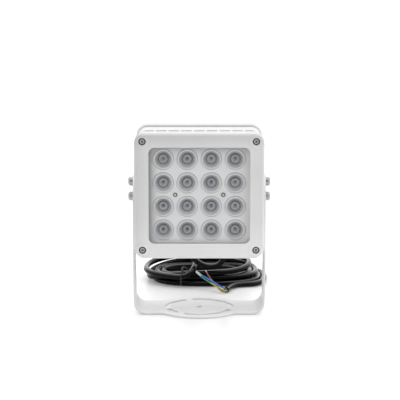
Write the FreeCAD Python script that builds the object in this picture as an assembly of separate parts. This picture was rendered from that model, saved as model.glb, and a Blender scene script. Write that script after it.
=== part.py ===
# Infrared illuminator on a U bracket, with its supply cable coiled behind it.
# Millimetres. The origin is on the axis of the hole in the middle of the bracket's base, on the
# surface that the base stands on. +Z is up, the lamp looks along -Y, and +X is on a viewer's right.
# Depths in the lamp head are measured backwards from the front of its bezel.

import FreeCAD, Part
import math
import os

from FreeCAD import Base

# Bracket, bent from one strip of sheet with a disc in the middle of its base
SHEET = 1.7
BRACKET_GAP = 0.1
LEG_LEAN = 0.7
LEG_LEAN_TOP = 46.0
BASE_STRIP_WIDTH = 54.0
BASE_DISC_DIAMETER = 89.0
BEND_INNER_RADIUS = 10.7
BASE_HOLE_DIAMETER = 6.0
BASE_SLOT_WIDTH = 6.0
BASE_SLOT_CIRCLE_RADIUS = 32.5
BASE_SLOT_ANGLES = ((4.0, 99.0), (119.0, 187.0), (-115.0, -24.0), (-160.0, -138.0))
LEG_TAPER_START_HEIGHT = 22.0
SHEET_EDGE_RADIUS = 0.4
SHARP_FROM_DEGREES = 30

# Tilt pivot, and the locking screw that runs in a curved slot above it
PIVOT_HEIGHT = 117.1
LOCK_RADIUS = 15.3
TILT_LIMIT_DEGREES = 30.0
LEG_EYE_RADIUS = 22.7
SIDE_SCREW_DIAMETER = 5.0
PIVOT_CLEARANCE = 0.05
LOCK_SLOT_CLEARANCE = 0.3
SIDE_SCREW_HEAD_DIAMETER = 9.5
SIDE_SCREW_HEAD_HEIGHT = 2.7
SIDE_SCREW_GRIP = 8.0
SIDE_SCREW_SOCKET = 3.0
SIDE_SCREW_TIP_BEVEL = 0.4
SIDE_SCREW_DOME = ((0.0, 0.19), (0.5, 0.56), (1.5, 0.91), (2.3, 1.0))
SOCKET_FLOOR_SHARE = 0.4
FLAT_WASHER_DIAMETER = 10.0
FLAT_WASHER_THICKNESS = 1.0
SPRING_WASHER_DIAMETER = 8.6
SPRING_WASHER_THICKNESS = 1.3
SPRING_WASHER_GAP = 1.0
WASHER_CLEARANCE = 0.15

# Lamp head, placed from the pivot
PIVOT_DEPTH = 36.0
HEAD_CENTRE_ABOVE_PIVOT = 6.7

# Bezel
BEZEL_SIDE_BORDER = 14.45
BEZEL_END_BORDER = 15.0
BEZEL_DEPTH = 12.0
BEZEL_CORNER_RADIUS = 11.0
BEZEL_EDGE_RADIUS = 2.4
BEZEL_RIM = 3.0
BEZEL_DISH = 0.8
WINDOW_BEVEL = 1.2
BEZEL_LIP = 3.0
WINDOW_MARGIN_X = 4.1
WINDOW_MARGIN_Z = 2.35
WINDOW_CORNER_RADIUS = 6.0
PAD_RADIUS = 7.6
PAD_DEPTH = 0.35
BEZEL_SCREW_INSET_X = 8.2
BEZEL_SCREW_INSET_Z = 8.65
COUNTERBORE_DIAMETER = 7.4
COUNTERBORE_DEPTH = 4.2

# Screws of the bezel and of the rear cover
CASE_SCREW_DIAMETER = 3.0
CASE_SCREW_HEAD_DIAMETER = 5.7
CASE_SCREW_HEAD_HEIGHT = 3.0
CASE_SCREW_LENGTH = 15.0
CASE_SCREW_SOCKET = 2.5
CASE_SCREW_BEVEL = 0.3
SCREW_CLEARANCE = 0.1
HOLE_SPARE_DEPTH = 0.8

# Window
GLASS_THICKNESS = 3.0
GLASS_OVERLAP = 2.75
WINDOW_GASKET_THICKNESS = 0.8
WINDOW_GASKET_INSET = 0.5
FIT_CLEARANCE = 0.3

# Lenses, four rows of four, held down by a plate with a hole for each
LENS_ROWS = 4
LENS_COLUMNS = 4
LENS_SPACING = 3.1
LENS_FACE_DEPTH = 8.2
LENS_FACE_DIAMETER = 21.0
LENS_FLANGE_WIDTH = 1.1
LENS_FLANGE_THICKNESS = 1.2
LENS_FOOT_DIAMETER = 9.6
LENS_WELL_DIAMETER = 7.6
LENS_WELL_DEPTH = 3.6
LENS_EMITTER_WELL_DIAMETER = 6.4
LENS_EMITTER_WELL_DEPTH = 3.2
LENS_FOOT_FLARE = (1.2, 1.6)
LENS_CONE_INSET = 1.2
LENS_WELL_TAPER = 0.5
LENS_WELL_CONE = 0.8
EMITTER_WELL_BEVEL = (0.6, 0.4)
PLATE_FACE_DEPTH = 8.6
PLATE_THICKNESS = 1.2
PLATE_SCREW_DIAMETER = 2.5
PLATE_SCREW_HEAD_DIAMETER = 4.8
PLATE_SCREW_HEAD_HEIGHT = 1.5
PLATE_SCREW_LENGTH = 10.2
PLATE_SCREW_SOCKET = 1.5
PLATE_SCREW_SOCKET_DEPTH_SHARE = 0.7
PAN_HEAD_BEVEL = (0.9, 0.7)
PLATE_POST_WALL = 1.2

# Light-emitter board on its heat-conducting pad
BOARD_FRONT_DEPTH = 17.6
BOARD_THICKNESS = 1.6
EMITTER_BASE = 3.5
EMITTER_BASE_HEIGHT = 0.8
EMITTER_DOME_RADIUS = 1.4
THERMAL_PAD_THICKNESS = 0.5

# Housing, a casting with air shafts from its underside to its top
HOUSING_INSET_X = 2.7
HOUSING_INSET_Z = 1.7
HOUSING_CORNER_RADIUS = 10.0
HOUSING_REAR_DEPTH = 48.5
FRONT_WALL_THICKNESS = 2.25
AIR_SHAFT_COUNT = 9
AIR_SHAFT_PITCH = 12.8
AIR_SHAFT_WIDTH = 10.7
AIR_SHAFT_DEPTH = 6.0
AIR_SHAFT_WEB = 1.8
DRIVER_CHAMBER_WALL_X = 7.5
DRIVER_CHAMBER_WALL_Z = 8.3
DRIVER_CHAMBER_RADIUS = 8.0
SIDE_BOSS_RADIUS = 9.0
BODY_GASKET_WIDTH = 2.4
BODY_GASKET_THICKNESS = 1.2
BODY_GASKET_PLAY = 0.1
BODY_GASKET_FROM_RECESS = 0.5
SIDE_BOSS_ROOT = 1.0

# Rear cover and its gasket, which leaves a groove round the case
REAR_GASKET_THICKNESS = 2.0
REAR_GROOVE_DEPTH = 2.0
REAR_COVER_OVERHANG_X = 1.5
REAR_COVER_OVERHANG_Z = 2.2
REAR_COVER_CORNER_RADIUS = 12.0
REAR_COVER_DEPTH = 13.5
REAR_COVER_WALL = 3.0
REAR_COVER_FRONT_EDGE_RADIUS = 2.0
REAR_COVER_BACK_EDGE_RADIUS = 3.5
REAR_SCREW_INSET_X = 6.5
REAR_SCREW_INSET_Z = 8.3
REAR_SCREW_SEAT = 5.0

# Driver board behind the air shafts
DRIVER_BOARD_WIDTH = 96.0
DRIVER_BOARD_HEIGHT = 100.0
DRIVER_BOARD_THICKNESS = 1.6
DRIVER_BOARD_CORNER_RADIUS = 3.0
DRIVER_POST_HEIGHT = 6.0
DRIVER_POST_RADIUS = 3.2
DRIVER_SCREW_INSET = 4.0
DRIVER_SCREW_LENGTH = 5.0
TRANSFORMER_SIZE = (24.0, 12.0, 22.0)
TRANSFORMER_X = -20.0
TRANSFORMER_Z = 10.0
TRANSFORMER_EDGE_RADIUS = 1.5
CAPACITOR_DIAMETER = 10.0
CAPACITOR_HEIGHT = 14.0
CAPACITOR_X = (14.0, 30.0)
CAPACITOR_Z = 18.0
CAPACITOR_CRIMP = ((0.0, 1.2), (0.4, 1.8), (0.0, 2.4))
CAPACITOR_TOP_BEVEL = 0.6
TERMINAL_WIDTH = 16.0
TERMINAL_HEIGHT = 9.0
TERMINAL_DEPTH = 8.0
TERMINAL_HOLE_RADIUS = 1.6
TERMINAL_HOLE_DEPTH = 3.0

# Cable gland in the rear cover
GLAND_X = 26.0
GLAND_ABOVE_CHAMBER_FLOOR = 9.2
GLAND_THREAD_DIAMETER = 12.0
GLAND_THREAD_LENGTH = 8.0
GLAND_HEX = 15.0
GLAND_HEX_LENGTH = 5.0
GLAND_COLLAR_DIAMETER = 11.0
GLAND_COLLAR_LENGTH = 4.0
GLAND_NUT_DIAMETER = 15.0
GLAND_NUT_LENGTH = 11.0
GLAND_NUT_WALL = 1.7
GLAND_LOCKNUT_THICKNESS = 3.0
GLAND_LOCKNUT_HEX = 16.0
GLAND_NUT_RIBS = 12
GLAND_RIB_RADIUS = 0.9
GLAND_RIB_OFFSET = 0.35
GLAND_DOME = ((0.0, 0.5), (0.8, 0.75), (2.4, 0.96), (3.0, 1.0))

# Cable and its three cores
CABLE_DIAMETER = 6.0
CORE_DIAMETER = 1.7
COIL_LENGTH_X = 134.4
COIL_LENGTH_Y = 88.5
COIL_CENTRE = (6.2, 133.75)
COIL_SECTION_WIDTH = 22.0
COIL_SECTION_HEIGHT = 17.4
TIE_DIAMETER = 1.2
TIE_CLEARANCE = 0.2
TIE_X = -19.0

# The cable leaves the gland along +Y. After that it hangs in a loop that rests on the coil, goes up
# and over behind that loop, and comes down into the front of the coil.
LEAD_EXIT_RUN = 15.0
LEAD_ROUTE_BEYOND_EXIT = (
    (26.5, 77.0, 72.5),
    (27.0, 89.0, 59.5),
    (27.5, 94.5, 45.5),
    (27.5, 95.0, 31.0),
    (19.5, 95.0, 22.0),
    (4.0, 95.0, 22.2),
    (-9.5, 96.5, 33.0),
    (-18.5, 104.0, 51.0),
    (-16.7, 121.0, 62.0),
    (-8.6, 136.5, 57.5),
    (-2.6, 139.0, 39.5),
    (-2.6, 124.5, 26.5),
    (-4.0, 108.0, 22.3),
    (-5.2, 98.5, 20.2),
    (-8.2, 92.2, 16.6),
    (-13.5, 90.2, 13.0),
    (-20.0, 91.2, 11.0),
)
# The other end of the cable leaves the coil's front and lies on the floor, with its three cores bare
TAIL_ROUTE = (
    (47.0, 93.2, 3.1),
    (39.0, 90.0, 3.1),
    (33.5, 83.5, 3.1),
    (30.5, 75.5, 3.1),
    (28.4, 67.2, 3.1),
)
CORE_ROUTES = {
    "core_blue": (
        (28.34, 67.0, 4.25),
        (27.7, 64.9, 4.6),
        (24.0, 65.4, 6.2),
        (17.0, 71.0, 9.4),
        (9.5, 79.0, 12.4),
        (3.0, 86.5, 15.0),
        (-2.0, 90.0, 20.3),
    ),
    "core_brown": (
        (27.33, 67.15, 2.53),
        (26.75, 65.75, 2.45),
        (25.0, 65.5, 3.0),
        (22.4, 68.5, 4.7),
        (18.0, 74.6, 7.4),
        (13.0, 81.0, 11.0),
        (9.0, 86.0, 14.8),
        (6.8, 89.5, 19.0),
    ),
    "core_green_yellow": (
        (29.34, 66.85, 2.53),
        (28.5, 64.2, 2.5),
        (24.5, 63.3, 3.9),
        (17.0, 69.4, 7.0),
        (9.5, 77.4, 10.0),
        (2.0, 84.8, 13.0),
        (-3.6, 88.6, 17.6),
    ),
}

ARC_SHARE_OF_RUN = 0.45

X_AXIS = Base.Vector(1, 0, 0)
Y_AXIS = Base.Vector(0, 1, 0)
Z_AXIS = Base.Vector(0, 0, 1)
ORIGIN = Base.Vector(0, 0, 0)

FRONT_Y = -PIVOT_DEPTH
HEAD_Z = PIVOT_HEIGHT + HEAD_CENTRE_ABOVE_PIVOT
LENS_PITCH = LENS_FACE_DIAMETER + LENS_SPACING
LENS_FLANGE_DIAMETER = LENS_FACE_DIAMETER + 2 * LENS_FLANGE_WIDTH
WINDOW_WIDTH = (LENS_COLUMNS - 1) * LENS_PITCH + LENS_FACE_DIAMETER + 2 * WINDOW_MARGIN_X
WINDOW_HEIGHT = (LENS_ROWS - 1) * LENS_PITCH + LENS_FACE_DIAMETER + 2 * WINDOW_MARGIN_Z
BEZEL_WIDTH = WINDOW_WIDTH + 2 * BEZEL_SIDE_BORDER
BEZEL_HEIGHT = WINDOW_HEIGHT + 2 * BEZEL_END_BORDER
BEZEL_SCREW_SPACING_X = BEZEL_WIDTH - 2 * BEZEL_SCREW_INSET_X
BEZEL_SCREW_SPACING_Z = BEZEL_HEIGHT - 2 * BEZEL_SCREW_INSET_Z
HOUSING_WIDTH = BEZEL_WIDTH - 2 * HOUSING_INSET_X
HOUSING_HEIGHT = BEZEL_HEIGHT - 2 * HOUSING_INSET_Z
DRIVER_CHAMBER_WIDTH = HOUSING_WIDTH - 2 * DRIVER_CHAMBER_WALL_X
DRIVER_CHAMBER_HEIGHT = HOUSING_HEIGHT - 2 * DRIVER_CHAMBER_WALL_Z
REAR_COVER_WIDTH = HOUSING_WIDTH + 2 * REAR_COVER_OVERHANG_X
REAR_COVER_HEIGHT = HOUSING_HEIGHT + 2 * REAR_COVER_OVERHANG_Z
REAR_SCREW_SPACING_X = HOUSING_WIDTH - 2 * REAR_SCREW_INSET_X
REAR_SCREW_SPACING_Z = HOUSING_HEIGHT - 2 * REAR_SCREW_INSET_Z
LOCK_HEIGHT = PIVOT_HEIGHT + LOCK_RADIUS
BRACKET_HALF_INNER = BEZEL_WIDTH / 2 + BRACKET_GAP
BRACKET_HALF_OUTER = BRACKET_HALF_INNER + SHEET
GLASS_FRONT_DEPTH = BEZEL_LIP + WINDOW_GASKET_THICKNESS
GLASS_BACK_DEPTH = GLASS_FRONT_DEPTH + GLASS_THICKNESS
GLASS_WIDTH = WINDOW_WIDTH + 2 * GLASS_OVERLAP
GLASS_HEIGHT = WINDOW_HEIGHT + 2 * GLASS_OVERLAP
GLASS_RADIUS = WINDOW_CORNER_RADIUS + GLASS_OVERLAP
WELL_WIDTH = GLASS_WIDTH - 2 * FRONT_WALL_THICKNESS
WELL_HEIGHT = GLASS_HEIGHT - 2 * FRONT_WALL_THICKNESS
WELL_RADIUS = GLASS_RADIUS - FRONT_WALL_THICKNESS
WELL_FLOOR_DEPTH = BOARD_FRONT_DEPTH + BOARD_THICKNESS + THERMAL_PAD_THICKNESS
AIR_SHAFT_FRONT_DEPTH = WELL_FLOOR_DEPTH + AIR_SHAFT_WEB
CHAMBER_FRONT_DEPTH = AIR_SHAFT_FRONT_DEPTH + AIR_SHAFT_DEPTH + AIR_SHAFT_WEB
REAR_COVER_FRONT_DEPTH = HOUSING_REAR_DEPTH + REAR_GASKET_THICKNESS
HEAD_REAR_DEPTH = REAR_COVER_FRONT_DEPTH + REAR_COVER_DEPTH
DRIVER_BOARD_DEPTH = CHAMBER_FRONT_DEPTH + DRIVER_POST_HEIGHT
DRIVER_SCREW_SPACING_X = DRIVER_BOARD_WIDTH - 2 * DRIVER_SCREW_INSET
DRIVER_SCREW_SPACING_Z = DRIVER_BOARD_HEIGHT - 2 * DRIVER_SCREW_INSET
GLAND_Z = HEAD_Z - DRIVER_CHAMBER_HEIGHT / 2 + GLAND_ABOVE_CHAMBER_FLOOR


def depth_y(depth):
    return FRONT_Y + depth


def rounded_wire(width, height, radius, depth):
    """Outline of a rounded rectangle across the head at one depth."""
    half_w, half_h, y = width / 2, height / 2, depth_y(depth)
    centres = ((half_w - radius, half_h - radius, 0), (radius - half_w, half_h - radius, 90),
               (radius - half_w, radius - half_h, 180), (half_w - radius, radius - half_h, 270))
    corners = []
    for x, z, start in centres:
        points = []
        for angle in (start, start + 45, start + 90):
            a = math.radians(angle)
            points.append(Base.Vector(x + radius * math.cos(a), y, HEAD_Z + z + radius * math.sin(a)))
        corners.append(points)
    edges = []
    for i, points in enumerate(corners):
        edges.append(Part.Arc(*points).toShape())
        edges.append(Part.makeLine(points[2], corners[(i + 1) % 4][0]))
    return Part.Wire(edges)


def rounded_block(width, height, radius, front, back):
    """Rounded rectangular block across the head, between two depths."""
    face = Part.Face(rounded_wire(width, height, radius, front))
    return face.extrude(Base.Vector(0, back - front, 0))


def ring_block(outer, inner, front, back):
    """Flat ring between two rounded rectangles, each given as width, height and corner radius."""
    return rounded_block(*outer, front, back).cut(rounded_block(*inner, front, back))


def rod(x, z, radius, front, back):
    """Round bar along the head's depth."""
    return Part.makeCylinder(radius, back - front, Base.Vector(x, depth_y(front), z), Y_AXIS)


def hex_rod(across_flats, length, base, direction):
    """Hexagonal bar from a base point along a direction."""
    corner = across_flats / math.sqrt(3)
    points = [Base.Vector(corner * math.cos(math.radians(60 * i)),
                          corner * math.sin(math.radians(60 * i)), 0) for i in range(7)]
    bar = Part.Face(Part.makePolygon(points)).extrude(Base.Vector(0, 0, length))
    bar.Placement = FreeCAD.Placement(base, FreeCAD.Rotation(Z_AXIS, direction))
    return bar


def turned(profile, base, direction):
    """Solid of revolution from (radius, height) points, standing on a base point."""
    points = [Base.Vector(r, 0, h) for r, h in profile]
    shape = Part.Face(Part.makePolygon(points + points[:1])).revolve(ORIGIN, Z_AXIS, 360)
    shape.Placement = FreeCAD.Placement(base, FreeCAD.Rotation(Z_AXIS, direction))
    return shape


def four_corners(spacing_x, spacing_z):
    """The four places of a rectangular pattern on the head, as (x, z)."""
    return [(sx * spacing_x / 2, HEAD_Z + sz * spacing_z / 2) for sx in (-1, 1) for sz in (-1, 1)]


def lens_places():
    """Centres of the lenses, row by row from the top left, as (x, z)."""
    places = []
    for row in range(LENS_ROWS):
        z = HEAD_Z + ((LENS_ROWS - 1) / 2 - row) * LENS_PITCH
        for column in range(LENS_COLUMNS):
            places.append(((column - (LENS_COLUMNS - 1) / 2) * LENS_PITCH, z))
    return places


def plate_screw_places():
    """The two screws between the middle rows, one each side of the middle."""
    return [(-LENS_PITCH, HEAD_Z), (LENS_PITCH, HEAD_Z)]


def arc_slot(radius, width, start, end, length):
    """Curved slot about the Z axis, standing on Z = 0, between two angles in degrees."""
    half = width / 2
    inner, outer = radius - half, radius + half

    def at(r, angle):
        a = math.radians(angle)
        return Base.Vector(r * math.cos(a), r * math.sin(a), 0)

    middle = (start + end) / 2
    cap = math.degrees(half / radius)
    edges = [
        Part.Arc(at(outer, start), at(outer, middle), at(outer, end)).toShape(),
        Part.Arc(at(outer, end), at(radius, end + cap), at(inner, end)).toShape(),
        Part.Arc(at(inner, end), at(inner, middle), at(inner, start)).toShape(),
        Part.Arc(at(inner, start), at(radius, start - cap), at(outer, start)).toShape(),
    ]
    return Part.Face(Part.Wire(edges)).extrude(Base.Vector(0, 0, length))


# Bracket


def bracket_strip():
    """The strip as a bent U, as wide as its base everywhere, its legs leaning in a little below."""
    lean_top, top = LEG_LEAN_TOP, PIVOT_HEIGHT + LEG_EYE_RADIUS
    outer_radius = BEND_INNER_RADIUS + SHEET
    out, inner = BRACKET_HALF_OUTER, BRACKET_HALF_INNER
    low_out, low_inner = out - LEG_LEAN, inner - LEG_LEAN
    ox, bend_z = low_out - outer_radius, outer_radius
    s = math.sqrt(0.5)

    def p(x, z):
        return Base.Vector(x, -BASE_STRIP_WIDTH / 2, z)

    def leg(side):
        """Edges of one leg, from the base's underside round it to the base's top."""
        return [
            Part.Arc(p(side * ox, 0), p(side * (ox + outer_radius * s), bend_z - outer_radius * s),
                     p(side * low_out, bend_z)).toShape(),
            Part.makeLine(p(side * low_out, bend_z), p(side * out, lean_top)),
            Part.makeLine(p(side * out, lean_top), p(side * out, top)),
            Part.makeLine(p(side * out, top), p(side * inner, top)),
            Part.makeLine(p(side * inner, top), p(side * inner, lean_top)),
            Part.makeLine(p(side * inner, lean_top), p(side * low_inner, bend_z)),
            Part.Arc(p(side * low_inner, bend_z),
                     p(side * (ox + BEND_INNER_RADIUS * s), bend_z - BEND_INNER_RADIUS * s),
                     p(side * ox, SHEET)).toShape(),
        ]

    edges = [Part.makeLine(p(-ox, 0), p(ox, 0)), Part.makeLine(p(ox, SHEET), p(-ox, SHEET))]
    edges += leg(-1) + leg(1)
    outline = Part.Wire(Part.__sortEdges__(edges))
    return Part.Face(outline).extrude(Base.Vector(0, BASE_STRIP_WIDTH, 0))


def leg_outline():
    """Side view of the bracket that trims its legs: full width below, a round eye at the top."""
    half = BASE_STRIP_WIDTH / 2
    eye = LEG_EYE_RADIUS
    x = -2 * BRACKET_HALF_OUTER

    def p(y, z):
        return Base.Vector(x, y, z)

    edges = [
        Part.makeLine(p(-half, -SHEET), p(half, -SHEET)),
        Part.makeLine(p(half, -SHEET), p(half, LEG_TAPER_START_HEIGHT)),
        Part.makeLine(p(half, LEG_TAPER_START_HEIGHT), p(eye, PIVOT_HEIGHT)),
        Part.Arc(p(eye, PIVOT_HEIGHT), p(0, PIVOT_HEIGHT + eye), p(-eye, PIVOT_HEIGHT)).toShape(),
        Part.makeLine(p(-eye, PIVOT_HEIGHT), p(-half, LEG_TAPER_START_HEIGHT)),
        Part.makeLine(p(-half, LEG_TAPER_START_HEIGHT), p(-half, -SHEET)),
    ]
    return Part.Face(Part.Wire(edges)).extrude(Base.Vector(4 * BRACKET_HALF_OUTER, 0, 0))


def lock_slot():
    """Curved slot about the pivot, through both legs, in which the locking screws travel."""
    width = SIDE_SCREW_DIAMETER + 2 * LOCK_SLOT_CLEARANCE
    length = 2 * BRACKET_HALF_OUTER + 2 * SHEET
    slot = arc_slot(LOCK_RADIUS, width, 90 - TILT_LIMIT_DEGREES, 90 + TILT_LIMIT_DEGREES, length)
    # The slot's plane turns from XY to YZ, and its length lies along X
    slot.rotate(ORIGIN, Base.Vector(1, 1, 1), 120)
    slot.translate(Base.Vector(-length / 2, 0, PIVOT_HEIGHT))
    return slot


def sharp_edges(shape, least_degrees):
    """Edges where two faces meet at more than an angle."""
    found = []
    for edge in shape.Edges:
        middle = edge.valueAt((edge.FirstParameter + edge.LastParameter) / 2)
        faces = shape.ancestorsOfType(edge, Part.Face)
        if len(faces) != 2:
            continue
        normals = [face.normalAt(*face.Surface.parameter(middle)) for face in faces]
        if math.degrees(normals[0].getAngle(normals[1])) > least_degrees:
            found.append(edge)
    return found


def make_bracket():
    shape = bracket_strip().common(leg_outline())
    shape = shape.fuse(Part.makeCylinder(BASE_DISC_DIAMETER / 2, SHEET)).removeSplitter()
    below = Base.Vector(0, 0, -SHEET)
    cuts = [Part.makeCylinder(BASE_HOLE_DIAMETER / 2, 3 * SHEET, below)]
    for start, end in BASE_SLOT_ANGLES:
        slot = arc_slot(BASE_SLOT_CIRCLE_RADIUS, BASE_SLOT_WIDTH, start, end, 3 * SHEET)
        slot.translate(below)
        cuts.append(slot)
    span = 2 * BRACKET_HALF_OUTER + 2 * SHEET
    pivot_radius = SIDE_SCREW_DIAMETER / 2 + PIVOT_CLEARANCE
    cuts.append(Part.makeCylinder(pivot_radius, span, Base.Vector(-span / 2, 0, PIVOT_HEIGHT), X_AXIS))
    cuts.append(lock_slot())
    for cut in cuts:
        shape = shape.cut(cut)
    return shape.makeFillet(SHEET_EDGE_RADIUS, sharp_edges(shape, SHARP_FROM_DEGREES))


# Side screws and washers


def make_side_screw(side, height):
    """Button-head screw through one leg into the boss on the housing's side."""
    direction = X_AXIS * side
    seat = BRACKET_HALF_OUTER + FLAT_WASHER_THICKNESS + SPRING_WASHER_THICKNESS
    grip = seat - BRACKET_HALF_INNER + SIDE_SCREW_GRIP
    shank, head = SIDE_SCREW_DIAMETER / 2, SIDE_SCREW_HEAD_DIAMETER / 2
    top = grip + SIDE_SCREW_HEAD_HEIGHT
    bevel = SIDE_SCREW_TIP_BEVEL
    dome = [(head - inset, grip + SIDE_SCREW_HEAD_HEIGHT * share) for inset, share in SIDE_SCREW_DOME]
    profile = ((0, 0), (shank - bevel, 0), (shank, bevel), (shank, grip), (head, grip), *dome, (0, top))
    screw = turned(profile, Base.Vector(side * (seat - grip), 0, height), direction)
    socket_base = Base.Vector(side * (seat + SIDE_SCREW_HEAD_HEIGHT * SOCKET_FLOOR_SHARE), 0, height)
    return screw.cut(hex_rod(SIDE_SCREW_SOCKET, SIDE_SCREW_HEAD_HEIGHT, socket_base, direction))


def washer(side, height, start, diameter, thickness):
    radius = SIDE_SCREW_DIAMETER / 2 + WASHER_CLEARANCE
    base = Base.Vector(side * start, 0, height)
    ring = Part.makeCylinder(diameter / 2, thickness, base, X_AXIS * side)
    return ring.cut(Part.makeCylinder(radius, thickness, base, X_AXIS * side))


def make_flat_washers(side):
    rings = [washer(side, z, BRACKET_HALF_OUTER, FLAT_WASHER_DIAMETER, FLAT_WASHER_THICKNESS)
             for z in (PIVOT_HEIGHT, LOCK_HEIGHT)]
    return Part.makeCompound(rings)


def make_spring_washers(side):
    """Split washers under the screw heads, each with its cut at the back."""
    start = BRACKET_HALF_OUTER + FLAT_WASHER_THICKNESS
    rings = []
    for z in (PIVOT_HEIGHT, LOCK_HEIGHT):
        ring = washer(side, z, start, SPRING_WASHER_DIAMETER, SPRING_WASHER_THICKNESS)
        corner = Base.Vector(min(side * start, side * (start + SPRING_WASHER_THICKNESS)), 0,
                             z - SPRING_WASHER_GAP / 2)
        gap = Part.makeBox(SPRING_WASHER_THICKNESS, SPRING_WASHER_DIAMETER, SPRING_WASHER_GAP, corner)
        rings.append(ring.cut(gap))
    return Part.makeCompound(rings)


# Bezel and window


def make_bezel():
    shape = rounded_block(BEZEL_WIDTH, BEZEL_HEIGHT, BEZEL_CORNER_RADIUS, 0, BEZEL_DEPTH)
    front = [e for e in shape.Edges if abs(e.CenterOfMass.y - FRONT_Y) < 0.001]
    shape = shape.makeFillet(BEZEL_EDGE_RADIUS, front)
    rim, bevel = 2 * BEZEL_RIM, 2 * WINDOW_BEVEL
    dish = Part.makeLoft([
        rounded_wire(BEZEL_WIDTH - rim, BEZEL_HEIGHT - rim, BEZEL_CORNER_RADIUS - BEZEL_RIM, 0),
        rounded_wire(WINDOW_WIDTH + bevel, WINDOW_HEIGHT + bevel, WINDOW_CORNER_RADIUS + WINDOW_BEVEL,
                     BEZEL_DISH),
    ], True, True)
    places = four_corners(BEZEL_SCREW_SPACING_X, BEZEL_SCREW_SPACING_Z)
    for x, z in places:
        dish = dish.cut(rod(x, z, PAD_RADIUS, PAD_DEPTH, BEZEL_DISH))
    shape = shape.cut(dish)
    shape = shape.cut(rounded_block(WINDOW_WIDTH, WINDOW_HEIGHT, WINDOW_CORNER_RADIUS, 0, BEZEL_DEPTH))
    shape = shape.cut(Part.makeLoft([
        rounded_wire(WINDOW_WIDTH + bevel, WINDOW_HEIGHT + bevel, WINDOW_CORNER_RADIUS + WINDOW_BEVEL,
                     BEZEL_DISH),
        rounded_wire(WINDOW_WIDTH, WINDOW_HEIGHT, WINDOW_CORNER_RADIUS, BEZEL_DISH + WINDOW_BEVEL),
    ], True, True))
    spare = 2 * FIT_CLEARANCE
    shape = shape.cut(rounded_block(GLASS_WIDTH + spare, GLASS_HEIGHT + spare,
                                    GLASS_RADIUS + FIT_CLEARANCE, BEZEL_LIP, BEZEL_DEPTH))
    for x, z in places:
        shape = shape.cut(rod(x, z, COUNTERBORE_DIAMETER / 2, 0, COUNTERBORE_DEPTH))
        shape = shape.cut(rod(x, z, CASE_SCREW_DIAMETER / 2 + SCREW_CLEARANCE, 0, BEZEL_DEPTH))
    return shape


def make_window_glass():
    return rounded_block(GLASS_WIDTH, GLASS_HEIGHT, GLASS_RADIUS, GLASS_FRONT_DEPTH, GLASS_BACK_DEPTH)


def make_window_gasket():
    inset = WINDOW_GASKET_INSET
    inner = (WINDOW_WIDTH + 2 * inset, WINDOW_HEIGHT + 2 * inset, WINDOW_CORNER_RADIUS + inset)
    return ring_block((GLASS_WIDTH, GLASS_HEIGHT, GLASS_RADIUS), inner, BEZEL_LIP, GLASS_FRONT_DEPTH)


def case_screw(x, z, seat, towards_back):
    """Socket-head screw whose head stands on a seat at one depth."""
    direction = Y_AXIS if towards_back else -Y_AXIS
    shank, head = CASE_SCREW_DIAMETER / 2, CASE_SCREW_HEAD_DIAMETER / 2
    top = CASE_SCREW_LENGTH + CASE_SCREW_HEAD_HEIGHT
    bevel = CASE_SCREW_BEVEL
    profile = ((0, 0), (shank - bevel, 0), (shank, bevel), (shank, CASE_SCREW_LENGTH),
               (head, CASE_SCREW_LENGTH), (head, top - bevel), (head - bevel, top), (0, top))
    tip = Base.Vector(x, depth_y(seat), z) + direction * CASE_SCREW_LENGTH
    screw = turned(profile, tip, direction * -1)
    socket_base = tip - direction * (top - CASE_SCREW_HEAD_HEIGHT * (1 - SOCKET_FLOOR_SHARE))
    return screw.cut(hex_rod(CASE_SCREW_SOCKET, CASE_SCREW_HEAD_HEIGHT, socket_base, direction * -1))


def make_bezel_screws():
    places = four_corners(BEZEL_SCREW_SPACING_X, BEZEL_SCREW_SPACING_Z)
    return Part.makeCompound([case_screw(x, z, COUNTERBORE_DEPTH, True) for x, z in places])


# Lenses, plate and emitter board


def make_lens(x, z):
    """Clear collimating lens: a cone on the board, a flange under the plate and a face in its hole."""
    foot = BOARD_FRONT_DEPTH
    plate_back = PLATE_FACE_DEPTH + PLATE_THICKNESS
    flange_back = plate_back + LENS_FLANGE_THICKNESS
    face, flange = LENS_FACE_DIAMETER / 2, LENS_FLANGE_DIAMETER / 2
    profile = (
        (LENS_EMITTER_WELL_DIAMETER / 2, 0),
        (LENS_FOOT_DIAMETER / 2, 0),
        (LENS_FOOT_DIAMETER / 2 + LENS_FOOT_FLARE[0], LENS_FOOT_FLARE[1]),
        (face - LENS_CONE_INSET, foot - flange_back),
        (flange, foot - flange_back),
        (flange, foot - plate_back),
        (face, foot - plate_back),
        (face, foot - LENS_FACE_DEPTH),
        (LENS_WELL_DIAMETER / 2, foot - LENS_FACE_DEPTH),
        (LENS_WELL_DIAMETER / 2 - LENS_WELL_TAPER, foot - LENS_FACE_DEPTH - LENS_WELL_DEPTH),
        (0, foot - LENS_FACE_DEPTH - LENS_WELL_DEPTH - LENS_WELL_CONE),
        (0, LENS_EMITTER_WELL_DEPTH),
        (LENS_EMITTER_WELL_DIAMETER / 2 - EMITTER_WELL_BEVEL[0],
         LENS_EMITTER_WELL_DEPTH - EMITTER_WELL_BEVEL[1]),
    )
    return turned(profile, Base.Vector(x, depth_y(foot), z), -Y_AXIS)


def make_lens_plate():
    spare = 2 * FIT_CLEARANCE
    shape = rounded_block(WELL_WIDTH - spare, WELL_HEIGHT - spare, WELL_RADIUS - FIT_CLEARANCE,
                          PLATE_FACE_DEPTH, PLATE_FACE_DEPTH + PLATE_THICKNESS)
    back = PLATE_FACE_DEPTH + PLATE_THICKNESS
    for x, z in lens_places():
        shape = shape.cut(rod(x, z, LENS_FACE_DIAMETER / 2 + FIT_CLEARANCE, 0, back))
    for x, z in plate_screw_places():
        shape = shape.cut(rod(x, z, PLATE_SCREW_DIAMETER / 2 + SCREW_CLEARANCE, 0, back))
    return shape


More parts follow.
